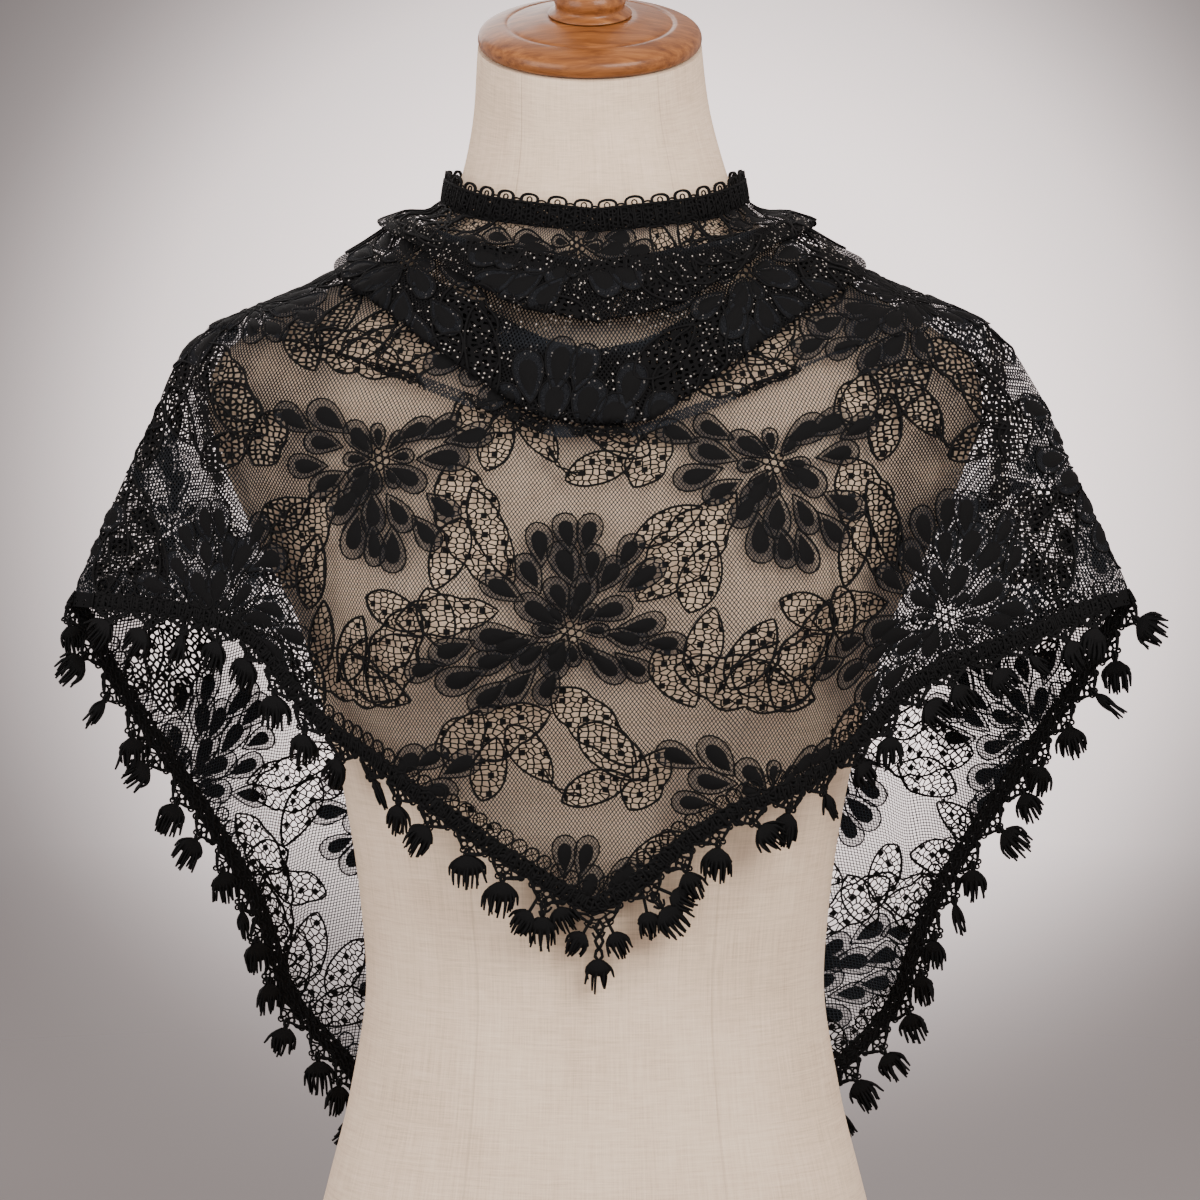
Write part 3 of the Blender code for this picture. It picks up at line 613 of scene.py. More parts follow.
def flatten(grid, rounds=30):
    """Each grid point's place in the flat cloth. Every triangle is laid flat and turned to fit the rest."""
    columns, rows = grid.shape[:2]
    index = grid_index(columns, rows)
    faces = halves(grid_quads(index, turned=True))
    corners = grid.reshape(-1, 3)[faces]
    ahead = corners[:, 1] - corners[:, 0]
    length = np.linalg.norm(ahead, axis=1)
    away = corners[:, 2] - corners[:, 0]
    along = (away * ahead).sum(1) / length
    beside = np.sqrt(np.maximum((away**2).sum(1) - along**2, 1e-6))
    flat = np.zeros((len(faces), 3, 2))
    flat[:, 1, 0], flat[:, 2, 0], flat[:, 2, 1] = length, along, beside
    size = index.size
    pull = np.zeros((size, size))
    sides = []
    for k in range(3):
        i, j = faces[:, k], faces[:, (k + 1) % 3]
        p, q = flat[:, k] - flat[:, (k + 2) % 3], flat[:, (k + 1) % 3] - flat[:, (k + 2) % 3]
        crossed = np.abs(p[:, 0] * q[:, 1] - p[:, 1] * q[:, 0])
        weight = np.clip((p * q).sum(1) / np.maximum(crossed, 1e-9), 0.05, 8)
        sides.append((i, j, weight, flat[:, k] - flat[:, (k + 1) % 3]))
        for m, n in ((i, j), (j, i)):
            np.add.at(pull, (m, m), weight)
            np.add.at(pull, (m, n), -weight)
    pull[0, 0] += 1
    solve = np.linalg.inv(pull)
    widths = np.linalg.norm(np.diff(grid, axis=0), axis=2)
    drops = np.linalg.norm(np.diff(grid, axis=1), axis=2)
    across = np.concatenate([np.zeros((1, rows)), np.cumsum(widths, axis=0)])
    across -= across[columns // 2]
    down = np.concatenate([np.zeros((columns, 1)), np.cumsum(drops, axis=1)], axis=1)
    places = np.stack([across, down], -1).reshape(-1, 2)
    for _ in range(rounds):
        turn = np.zeros((len(faces), 2))
        for i, j, weight, edge in sides:
            now = places[i] - places[j]
            turn[:, 0] += weight * (now * edge).sum(1)
            turn[:, 1] += weight * (now[:, 1] * edge[:, 0] - now[:, 0] * edge[:, 1])
        turn /= np.linalg.norm(turn, axis=1, keepdims=True)
        wanted = np.zeros((size, 2))
        for i, j, weight, edge in sides:
            cosine, sine = turn[:, 0], turn[:, 1]
            turned_x = cosine * edge[:, 0] - sine * edge[:, 1]
            turned_y = sine * edge[:, 0] + cosine * edge[:, 1]
            turned_edge = np.stack([turned_x, turned_y], -1)
            np.add.at(wanted, i, weight[:, None] * turned_edge)
            np.add.at(wanted, j, -weight[:, None] * turned_edge)
        places = solve @ wanted
    places = places.reshape(columns, rows, 2)
    middle = columns // 2
    places -= places[middle, 0]
    hang = places[middle, -1]
    turn = math.atan2(hang[0], hang[1])
    spin = np.array([[math.cos(turn), math.sin(turn)], [-math.sin(turn), math.cos(turn)]])
    return places @ spin


def flat_places(grid):
    """Every cloth point's place in the flat, worked out on a few columns and read between them by length."""
    columns, rows = grid.shape[:2]
    kept = np.arange(0, columns, FLAT_COLUMN_STEP)
    folded = 4 * sum(FOLD_STEPS)
    stops = np.concatenate([[0], np.arange(3, folded, 4), np.arange(folded + 3, rows - 2, 8), [rows - 1]])
    coarse = flatten(grid[kept][:, stops])
    steps = np.linalg.norm(np.diff(grid, axis=1), axis=2)
    down = np.concatenate([np.zeros((columns, 1)), np.cumsum(steps, axis=1)], axis=1)
    at = np.arange(columns) / FLAT_COLUMN_STEP
    low = np.minimum(at.astype(int), len(kept) - 2)
    part = (at - low)[:, None, None]
    between = coarse[low] * (1 - part) + coarse[low + 1] * part
    places = np.empty((columns, rows, 2))
    for i in range(columns):
        for k in range(2):
            places[i, :, k] = np.interp(down[i], down[i, stops], between[i, :, k])
    return places


class Cloth:
    """The draped grid with its flat places, for carrying flat motifs onto it."""

    def __init__(self, grid, flat):
        self.grid, self.flat = grid, flat
        across = np.gradient(grid, axis=0)
        down = np.gradient(grid, axis=1)
        normal = np.cross(down, across)
        self.normals = normal / np.linalg.norm(normal, axis=2, keepdims=True)
        self.faces = halves(grid_quads(grid_index(*grid.shape[:2])))
        padded = np.concatenate([flat.reshape(-1, 2), np.zeros((flat.shape[0] * flat.shape[1], 1))], axis=1)
        self.tree = BVHTree.FromPolygons(padded.tolist(), self.faces.tolist())

    def carry(self, places, lift=0.0):
        """Points on the cloth for flat places, their normals, how far off it each was, and its column."""
        places = np.asarray(places, float)
        hits = np.empty((len(places), 2))
        faces = np.empty(len(places), int)
        miss = np.empty(len(places))
        for k, (u, v) in enumerate(places.tolist()):
            hit, _, face, far = self.tree.find_nearest((u, v, 0.0))
            hits[k] = hit[0], hit[1]
            faces[k], miss[k] = face, far
        corners = self.faces[faces]
        flat = self.flat.reshape(-1, 2)[corners]
        p, q, r = flat[:, 1] - flat[:, 0], flat[:, 2] - flat[:, 0], hits - flat[:, 0]
        whole = p[:, 0] * q[:, 1] - p[:, 1] * q[:, 0]
        whole = np.where(np.abs(whole) < 1e-9, 1e-9, whole)
        second = (r[:, 0] * q[:, 1] - r[:, 1] * q[:, 0]) / whole
        third = (p[:, 0] * r[:, 1] - p[:, 1] * r[:, 0]) / whole
        weights = np.stack([1 - second - third, second, third], axis=1)[:, :, None]
        points = (self.grid.reshape(-1, 3)[corners] * weights).sum(1)
        normals = (self.normals.reshape(-1, 3)[corners] * weights).sum(1)
        normals /= np.linalg.norm(normals, axis=1, keepdims=True)
        return points + normals * lift, normals, miss, corners[:, 0] // self.grid.shape[1]


class Pile:
    """Points and faces of many small things, joined into one mesh."""

    def __init__(self):
        self.points, self.faces, self.count = [], [], 0

    def add(self, points, faces):
        self.points.append(np.asarray(points, float))
        self.faces.extend([tuple(int(v) + self.count for v in face) for face in faces])
        self.count += len(points)

    def tube(self, line, normals, radius, sides=4, closed=False):
        """A cord along a line of points. Its radius is one number or one for each point."""
        line = np.asarray(line, float)
        count = len(line)
        if closed:
            ahead = np.roll(line, -1, axis=0) - np.roll(line, 1, axis=0)
        else:
            ahead = np.gradient(line, axis=0)
        ahead /= np.maximum(np.linalg.norm(ahead, axis=1, keepdims=True), 1e-9)
        beside = np.cross(normals, ahead)
        beside /= np.maximum(np.linalg.norm(beside, axis=1, keepdims=True), 1e-9)
        up = np.cross(ahead, beside)
        radius = np.broadcast_to(np.asarray(radius, float), (count,))[:, None, None]
        turns = 2 * math.pi * (np.arange(sides) + 0.5) / sides
        circle = beside[:, None] * np.cos(turns)[None, :, None] + up[:, None] * np.sin(turns)[None, :, None]
        points = (line[:, None] + circle * radius).reshape(-1, 3)
        faces = grid_quads(grid_index(count, sides, around=True, closed=closed)).tolist()
        if not closed:
            faces.append(tuple(range(sides))[::-1])
            faces.append(tuple(range((count - 1) * sides, count * sides)))
        self.add(points, faces)

    def make(self, name, material, slot, smooth=True):
        return mesh_piece(name, np.concatenate(self.points), self.faces, material, smooth)


def mesh_piece(name, points, faces, material, smooth=True):
    """A named piece from points in mm, which rides on the part."""
    mesh = bpy.data.meshes.new(name)
    mesh.from_pydata((np.asarray(points) * MM).tolist(), [], faces)
    mesh.materials.append(material)
    if smooth:
        mesh.shade_smooth()
    made = bpy.data.objects.new(name, mesh)
    bpy.context.scene.collection.objects.link(made)
    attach(made, "root")
    return made


def repeats():
    """The middles of the upward flowers of every repeat that can reach the cloth."""
    for row in range(-3, 3):
        for turn in range(-5, 6):
            yield np.array(
                [
                    REPEAT["start_across"] + turn * REPEAT["across"],
                    REPEAT["start_down"] + row * REPEAT["down"],
                ]
            )


def leaf_width(along, scallops):
    """The half width of a leaf, as a share of its widest. Along runs from -1 at its root to 1 at its tip."""
    plain = np.maximum(1 - np.abs(along) ** 2.2, 0) ** 0.8 * (1 - 0.18 * along)
    if not scallops:
        return plain
    return plain * (1 - 0.2 * (1 - np.abs(np.sin((along + 1) / 2 * math.pi * scallops))))


def inside_leaf(places):
    """How far inside the nearest openwork leaf each flat place is, in mm. Outside it is negative."""
    deepest = np.full(len(places), -50.0)
    start = np.array([REPEAT["start_across"], REPEAT["start_down"]])
    size = np.array([REPEAT["across"], REPEAT["down"]])
    local = (places - start + size / 2) % size - size / 2
    for leaf in LEAVES:
        lean = math.radians(leaf["lean"])
        way = np.array([math.cos(lean), math.sin(lean)])
        middle = np.array([leaf["across"], leaf["down"]])
        for i in (-1, 0, 1):
            for j in (-1, 0, 1):
                away = local - middle - size * (i, j)
                along = (away @ way) / (leaf["long"] / 2)
                aside = np.abs(away[:, 0] * way[1] - away[:, 1] * way[0])
                depth = (leaf_width(along, leaf["scallops"]) * leaf["wide"] / 2 - aside) * 0.85
                past = np.maximum(np.abs(along) - 1, 0) * leaf["long"] / 2
                deepest = np.maximum(deepest, np.where(past > 0, -np.hypot(past, aside), depth))
    return deepest


def teardrop(count, long, wide):
    """The outline of a petal that points along -x, as offsets from its middle."""
    turn = 2 * math.pi * (np.arange(count) + 0.5) / count
    aside = np.sin(turn) * np.abs(np.sin(turn / 2)) ** 1.1 * wide / 2 * 1.25
    return np.stack([-np.cos(turn) * long / 2, aside], 1)


def dome_faces(count):
    """Faces of a low dome whose points are an outer ring, an inner ring and a middle."""
    faces = []
    for k in range(count):
        after = (k + 1) % count
        faces.append((k, after, count + after, count + k))
        faces.append((count + k, count + after, 2 * count))
    return faces


def both_flowers():
    """Where the two flowers of a repeat lie from the upward one, with their petals."""
    return (((0, 0), UP_FLOWER), ((REPEAT["across"] / 2, -REPEAT["down"] / 2), DOWN_FLOWER))


def petal_places(draw):
    """Every petal of the cloth: its middle, the way it points and its size."""
    for start in repeats():
        for shift, flower in both_flowers():
            for petal in flower:
                away = np.array(petal, float)
                way = away / np.linalg.norm(away)
                turn = draw.normal(0, 0.12)
                spin = np.array([[math.cos(turn), -math.sin(turn)], [math.sin(turn), math.cos(turn)]])
                yield start + shift + away, spin @ way, draw.uniform(0.85, 1.08)
            for k in range(INNER_PETALS["count"]):
                turn = 2 * math.pi * (k + draw.uniform(-0.2, 0.2)) / INNER_PETALS["count"]
                way = np.array([math.cos(turn), math.sin(turn)])
                yield start + shift + way * INNER_PETALS["far"], way, INNER_PETALS["size"]


def side_of(column):
    """Which stretch of the lace a column belongs to."""
    if column < BACK_COLUMNS:
        return "back_left"
    return "front" if column < BACK_COLUMNS + FRONT_COLUMNS else "back_right"


def lay_petals(cloth, piles):
    """Adds every petal's sheer border, raised middle and outline to the piles of its stretch."""
    draw = np.random.default_rng(SEED)
    petals = list(petal_places(draw))
    _, _, miss, columns = cloth.carry([place for place, _, _ in petals])
    rim_count, core_count = 18, 14
    for number, ((place, way, size), off, column) in enumerate(zip(petals, miss, columns)):
        if off > ON_CLOTH:
            continue
        side = side_of(column)
        turn = np.array([way, (-way[1], way[0])])
        rim = teardrop(rim_count, PETAL["long"] * size, PETAL["wide"] * size)
        core = teardrop(core_count, PETAL["core_long"] * size, PETAL["core_wide"] * size)
        core[:, 0] -= PETAL["core_back"] * size
        flat = np.concatenate([rim, rim * 0.55, [[0, 0]], core, core * 0.55, [[0, 0]]]) @ turn + place
        points, normals, _, _ = cloth.carry(flat)
        lift = LIFT + 0.03 * (number % 5)
        split = 2 * rim_count + 1
        halo = points[:split] + normals[:split] * lift
        piles["halo", side].add(halo, dome_faces(rim_count))
        rise = np.concatenate([np.full(core_count, 0.08), np.full(core_count, PETAL["core_rise"]), [0.9]])
        middle = points[split:] + normals[split:] * (lift + rise[:, None])
        piles["core", side].add(middle, dome_faces(core_count))
        piles["cord", side].tube(halo[:rim_count], normals[:rim_count], PETAL_CORD, closed=True)


def lay_leaves(cloth, piles):
    """Adds the cords round every ribbon and leaf, and the chains between them."""
    half = 29
    along = np.linspace(-1, 1, half)
    along = 0.6 * np.sin(along * math.pi / 2) + 0.4 * along
    t = np.linspace(0, 1, 9)
    for start in repeats():
        for leaf in LEAVES:
            lean = math.radians(leaf["lean"])
            way = np.array([[math.cos(lean), math.sin(lean)], [-math.sin(lean), math.cos(lean)]])
            width = leaf_width(along, leaf["scallops"]) * leaf["wide"] / 2
            there = np.stack([along * leaf["long"] / 2, width], 1)
            back = np.stack([along[::-1] * leaf["long"] / 2, -width[::-1]], 1)[1:-1]
            outline = np.concatenate([there, back]) @ way + start + (leaf["across"], leaf["down"])
            points, normals, miss, columns = cloth.carry(outline, LIFT)
            if (miss < ON_CLOTH).sum() < half:
                continue
            piles["cord", side_of(columns[half])].tube(points, normals, LEAF_CORD, closed=True)
        for chain in CHAINS:
            ends = np.array([chain["from"], chain["to"]], float)
            reach = ends[1] - ends[0]
            aside = np.array([-reach[1], reach[0]]) / np.linalg.norm(reach)
            for turned in (-1, 1):
                line = ends[0] + t[:, None] * reach + aside * (chain["bow"] * np.sin(math.pi * t))[:, None]
                line = line + start + aside * (turned * 0.9 * np.sin(4 * math.pi * t))[:, None]
                points, normals, miss, columns = cloth.carry(line, LIFT)
                if miss.max() < ON_CLOTH:
                    piles["cord", side_of(columns[0])].tube(points, normals, CHAIN_CORD)


def lay_middles(cloth, piles):
    """Adds the small rings in the middle of every flower."""
    turn = 2 * math.pi * np.arange(MIDDLE_RINGS["count"]) / MIDDLE_RINGS["count"] + MIDDLE_RINGS["turned"]
    middles = np.stack([np.cos(turn), np.sin(turn)], 1) * MIDDLE_RINGS["far"]
    middles = np.concatenate([[[0, 0]], middles])
    turn = 2 * math.pi * np.arange(10) / 10
    circle = np.stack([np.cos(turn), np.sin(turn)], 1) * MIDDLE_RINGS["size"]
    for start in repeats():
        for shift, _ in both_flowers():
            for middle in middles:
                points, normals, miss, columns = cloth.carry(circle + start + shift + middle, LIFT + 0.2)
                if miss.max() < ON_CLOTH:
                    piles["cord", side_of(columns[0])].tube(points, normals, RING_CORD, closed=True)


class Edge:
    """Frames along an edge of the cloth: the point, the ways along and off the cloth, and the normal."""

    def __init__(self, line, beside, smooth=5.0):
        steps = np.linalg.norm(np.diff(line, axis=0), axis=1)
        at = np.concatenate([[0], np.cumsum(steps)])
        self.length = at[-1]
        self.at = np.linspace(0, self.length, int(self.length) + 1)
        self.points = self.read(line, at)
        inner = self.read(beside, at)
        along = np.gradient(self.points, axis=0)
        along /= np.linalg.norm(along, axis=1, keepdims=True)
        off = self.points - inner
        off -= (off * along).sum(axis=1, keepdims=True) * along
        normal = np.cross(off, along)
        outward = self.points * np.array([1, 1, 0])
        normal *= np.sign((normal * outward).sum(axis=1, keepdims=True))
        self.along = self.softened(along, smooth)
        self.off = self.softened(off, smooth)
        self.normal = self.softened(normal, smooth)

    def read(self, line, at):
        return np.stack([np.interp(self.at, at, line[:, k]) for k in range(3)], axis=1)

    def softened(self, ways, reach):
        """The ways averaged over their neighbours, at length one."""
        width = int(reach) * 2 + 1
        kernel = np.hanning(width + 2)[1:-1]
        kernel /= kernel.sum()
        padded = np.concatenate([ways[:1].repeat(reach, 0), ways, ways[-1:].repeat(reach, 0)])
        soft = np.stack([np.convolve(padded[:, k], kernel, "valid") for k in range(3)], axis=1)
        return soft / np.linalg.norm(soft, axis=1, keepdims=True)

    def frames(self, at):
        """The frames at the given lengths along the edge."""
        at = np.clip(np.atleast_1d(np.asarray(at, float)), 0, self.length)

        def between(values):
            return np.stack([np.interp(at, self.at, values[:, k]) for k in range(3)], axis=1)

        return between(self.points), between(self.along), between(self.off), between(self.normal)

    def place(self, at, away, lift=0.0):
        """Points at lengths along the edge, distances off it and a lift, with their normals."""
        points, _, off, normal = self.frames(at)
        away = np.broadcast_to(np.asarray(away, float), (len(points),))[:, None]
        lift = np.broadcast_to(np.asarray(lift, float), (len(points),))[:, None]
        return points + off * away + normal * lift, normal


def wander(at, waves, draw):
    """An uneven wave between -1 and 1 at the given lengths."""
    value = sum(share_of * np.sin(2 * math.pi * at / wave + draw.uniform(0, 6.3)) for wave, share_of in waves)
    return value / sum(share_of for _, share_of in waves)


def tangle(edge, pile, near, far, count, radius, draw, first=0.0, last=None, lift=0.3):
    """Cords that wander along an edge between two distances off it."""
    last = edge.length if last is None else last
    for k in range(count):
        at = np.arange(first, last, 1.25)
        middle = near + (far - near) * (k + 0.5) / count
        swing = 0.9 * (far - near) / count + 0.4
        away = middle + swing * wander(at, ((5.5 + k % 3, 1.0), (3.4, 0.6), (17.0, 0.5)), draw)
        away = np.clip(away, near - 0.3, far + 0.3)
        raised = lift + 0.5 * wander(at, ((6.1, 1.0), (3.9, 0.7)), draw)
        points, normals = edge.place(at, away, raised)
        pile.tube(points, normals, radius * draw.uniform(0.85, 1.15))


def bars(edge, pile, near, far, pitch, radius, draw, first, last, lift=0.6):
    """Short cords that cross a band from side to side."""
    for at in np.arange(first, last, pitch):
        ends = at + draw.uniform(-1.6, 1.6, 2)
        t = np.linspace(0, 1, 4)
        points, normals = edge.place(
            ends[0] + (ends[1] - ends[0]) * t, near + (far - near) * t, lift + 0.3 * np.sin(math.pi * t)
        )
        pile.tube(points, normals, radius * draw.uniform(0.8, 1.2))


def fan(pile, root, way, beside, normal, draw, long, spread, threads):
    """A fan tassel: a packed, shell-shaped head that ends in separate curved threads."""

    def place(lean, along, reach=1.0):
        aside = spread * lean * np.sin(math.pi / 2 * np.minimum(1.3 * along + 0.12, 1.0))
        down = long * reach * (0.6 + 0.4 * np.sqrt(np.maximum(1 - lean * lean, 0))) * along
        return root + beside * np.asarray(aside)[..., None] + way * np.asarray(down)[..., None]

    leans = np.linspace(-1, 1, 9)
    rings = [place(leans, np.full(9, along)) for along in (0.0, 0.3, draw.uniform(0.48, 0.62))]
    thick = (0.8, 1.5, 0.5)
    near = [line + normal * half for line, half in zip(rings, thick)]
    far = [line - normal * half for line, half in zip(rings, thick)]
    points = np.concatenate(near + far)
    faces = []
    count = len(leans)
    for k in range(count - 1):
        for row in range(2):
            a, b = row * count + k, (row + 1) * count + k
            faces.append((a, b, b + 1, a + 1))
            faces.append((a + 3 * count, a + 1 + 3 * count, b + 1 + 3 * count, b + 3 * count))
        faces.append((2 * count + k, 5 * count + k, 5 * count + k + 1, 2 * count + k + 1))
    pile.add(points, faces)
    t = np.linspace(0.04, 1, 6)
    for k in range(threads):
        lean = np.clip((k / (threads - 1) - 0.5) * 2 + draw.normal(0, 0.05), -1, 1)
        bend = draw.normal(0, 1.2)
        lift = draw.uniform(0.3, 1.3) * (1 if k % 2 else -1)
        path = place(lean, t, draw.uniform(0.87, 1.09)) + beside * (bend * t * t)[:, None]
        path = path + normal * (lift * np.sin(math.pi * t * 0.75))[:, None]
        pile.tube(path, np.repeat(normal[None], 6, 0), np.array([0.7, 0.9, 0.98, 0.9, 0.8, 0.55]), sides=3)


def ring(edge, pile, at, away, size, radius, lift=0.3, count=12):
    """A small ring of cord that lies along an edge."""
    turn = 2 * math.pi * np.arange(count) / count
    points, normals = edge.place(at + size * np.cos(turn), away + size * np.sin(turn), lift)
    pile.tube(points, normals, radius, closed=True)


def hem_rings(edge, pile, first, last, draw):
    """The row of rings inside the hem, each with three bars across it."""
    count, away = int((last - first) / TRIM_RINGS["pitch"]), TRIM_RINGS["away"]
    t = np.linspace(-1, 1, 4)
    for k in range(count):
        middle = first + (k + 0.5 + draw.uniform(-0.12, 0.12)) * (last - first) / count
        size = draw.uniform(*TRIM_RINGS["size"])
        ring(edge, pile, middle, away, size, TRIM_RINGS["cord"], 0.8)
        for lean in RING_BARS["leans"]:
            across = middle + t * size * 0.75 * abs(lean)
            points, normals = edge.place(across, away + t * size * 0.8 * lean, 0.65)
            pile.tube(points, normals, RING_BARS["cord"], sides=3)


def webs(edge, pile, at, number, draw):
    """The open webs on both sides of a tassel: cords from the band down to its root, and small rings."""
    t = np.linspace(0, 1, 8)
    near = WEB["near"]
    for turned in (-1, 1):
        deep = draw.uniform(*WEB["deep"])
        outer = at + turned * (10.6 - 9.2 * t**0.85) + 0.5 * np.sin(t * 8 + number)
        points, normals = edge.place(outer, near + (deep + 2.0 - near) * t, 0.2)
        pile.tube(points, normals, WEB_CORDS["outer"] - 0.15 * t)
        swag = at + turned * (1.4 + 8.6 * (1 - t))
        points, normals = edge.place(swag, near + 0.2 + draw.uniform(*WEB["swag"]) * np.sin(math.pi * t), 0.5)
        pile.tube(points, normals, WEB_CORDS["swag"])
        ring(edge, pile, at + turned * 8.3, 8.3, 1.5, 0.65, count=9)
        ring(edge, pile, at + turned * 2.6, deep - 0.6, 1.5, 0.65, count=9)
        ring(edge, pile, at + turned * 1.4, deep + 2.2, 1.2, 0.6, count=8)
        bow = at + turned * (2.0 + 5.5 * np.sin(math.pi * t**0.8))
        points, normals = edge.place(bow, near + (deep + 1.0 - near) * t, 0.7)
        pile.tube(points, normals, WEB_CORDS["bow"])
    ring(edge, pile, at, 8.6, 1.6, 0.7, count=9)


def side_tassels(pile, root, way, beside, off, normal, draw):
    """Two more tassels, one on each side of a long one, with webs between their stalks."""
    along, across = SIDE_TASSEL["lean"]
    for turned in (-1, 1):
        bent = way * along + beside * turned * across
        aside = beside * along - way * turned * across
        nearer = root + beside * turned * SIDE_TASSEL["aside"] - off * SIDE_TASSEL["back"]
        arm = draw.uniform(*SIDE_TASSEL["stalk"])
        t = np.linspace(0, 1, 5)[:, None]
        pile.tube(nearer + bent * (arm + 1.0) * t, np.repeat(normal[None], 5, 0), SIDE_TASSEL["cord"])
        sizes = SIDE_TASSEL["long"], SIDE_TASSEL["wide"], SIDE_TASSEL["threads"]
        fan(pile, nearer + bent * arm, bent, aside, normal, draw, *sizes)
        t = np.linspace(0, 1, 7)[:, None]
        for far in SIDE_TASSEL["webs"]:
            web = nearer + (root - nearer) * t + way * (arm * far + 1.5 * np.sin(math.pi * t))
            pile.tube(web, np.repeat(normal[None], 7, 0), SIDE_TASSEL["web_cord"])


def tassel(edge, pile, at, slim, from_point, draw):
    """A tassel on its stalk. The point's own is longer and hangs straight, and its neighbours are grouped."""
    at_point, near_point = from_point == 0, from_point == 1
    place, _, off, normal = (value[0] for value in edge.frames(at))
    way = off * 0.55 + np.array([0, 0, -0.7])
    way -= way.dot(normal) * normal
    way /= np.linalg.norm(way)
    beside = np.cross(normal, way)
    lean = draw.uniform(-TASSEL["lean"], TASSEL["lean"]) * (0.2 if at_point else 1)
    cosine, sine = math.cos(lean), math.sin(lean)
    way, beside = way * cosine + beside * sine, beside * cosine - way * sine
    root = place + off * TASSEL["root"]
    if at_point:
        stalk = TASSEL["point_stalk"]
    else:
        stalk = draw.uniform(*TASSEL["near_stalk" if near_point else "stalk"])
    t = np.linspace(0, 1, 9)[:, None]
    for turned in (0.0, math.pi):
        swing = 1.9 * np.sin(t * 9.4 + turned) if at_point else 1.0 * np.sin(t * 3.5 + turned)
        path = root + way * (stalk + 1.0) * t + beside * swing
        pile.tube(path, np.repeat(normal[None], 9, 0), 1.1 if at_point else 1.0)
    long = draw.uniform(*TASSEL["long"]) * (0.95 if at_point else 1)
    wide = long * (TASSEL["slim"] if slim and not at_point else draw.uniform(*TASSEL["wide"]))
    threads = TASSEL["slim_threads" if slim else "threads"]
    fan(pile, root + way * stalk, way, beside, normal, draw, long, wide, threads)
    if at_point or near_point:
        side_tassels(pile, root, way, beside, off, normal, draw)


def trim(edge, pile, start, count, draw, point=None):
    """The guipure trim along a hem: a row of rings, a dense band, open webs and a tassel at every repeat."""
    first = max(start - TASSEL_PITCH / 2, 0.5)
    last = min(start + (count - 0.5) * TASSEL_PITCH, edge.length - 0.5)
    hem_rings(edge, pile, first, last, draw)
    tangle(edge, pile, TRIM_BAND["near"] - 0.2, TRIM_BAND["far"] + 0.2, 6, 0.85, draw, first, last)
    bars(edge, pile, TRIM_BAND["near"], TRIM_BAND["far"], 1.7, 0.62, draw, first, last)
    for k in range(count):
        at = start + k * TASSEL_PITCH + draw.uniform(-1.2, 1.2)
        webs(edge, pile, at, k, draw)
        from_point = None if point is None else abs(k - point)
        tassel(edge, pile, at, k % TASSEL["slim_every"] == 2, from_point, draw)


def picots(edge, pile, height, rise, draw):
    """The picot edging along the lace's long edge: a dense band and a row of small loops."""
    tangle(edge, pile, 0.5, height - 0.8, max(3, round(height / 1.7)), 0.72, draw)
    bars(edge, pile, 0.5, height - 0.6, 2.3, 0.5, draw, 1.0, edge.length - 1.0)
    at = np.arange(0, edge.length, 1.5)
    for lift in (-0.3, 0.5):
        away = height - 0.5 + 0.25 * wander(at, ((6.7, 1.0), (4.1, 0.6)), draw)
        points, normals = edge.place(at, away, lift)
        pile.tube(points, normals, 0.8)
    count, foot = int(edge.length / PICOT_PITCH), height - 0.9
    t = np.linspace(0, 1, 12)
    for k in range(count):
        middle = (k + 0.5) * edge.length / count + draw.uniform(-0.6, 0.6)
        tall = rise * draw.uniform(0.9, 1.08)
        loop = middle - (PICOT["half"] * np.cos(t * math.pi) + PICOT["pinch"] * np.sin(t * 2 * math.pi))
        points, normals = edge.place(loop, foot + tall * np.sin(t * math.pi) ** 0.8, 0.1)
        pile.tube(points, normals, PICOT["cord"])
        ring(edge, pile, middle, height + 0.9, PICOT["eye"], PICOT["eye_cord"], 0.1, count=9)
        small = middle + PICOT_PITCH / 2 - SMALL_PICOT["half"] * np.cos(t * math.pi)
        points, normals = edge.place(small, foot + SMALL_PICOT["rise"] * np.sin(t * math.pi), 0.1)
        pile.tube(points, normals, SMALL_PICOT["cord"])


def band_strip(edge, near, far, rows):
    """Points and faces of a narrow strip of net along an edge."""
    at = edge.at[::2]
    lines = [edge.place(at, near + (far - near) * k / (rows - 1))[0] for k in range(rows)]
    return np.concatenate(lines), grid_quads(grid_index(rows, len(at))).tolist()


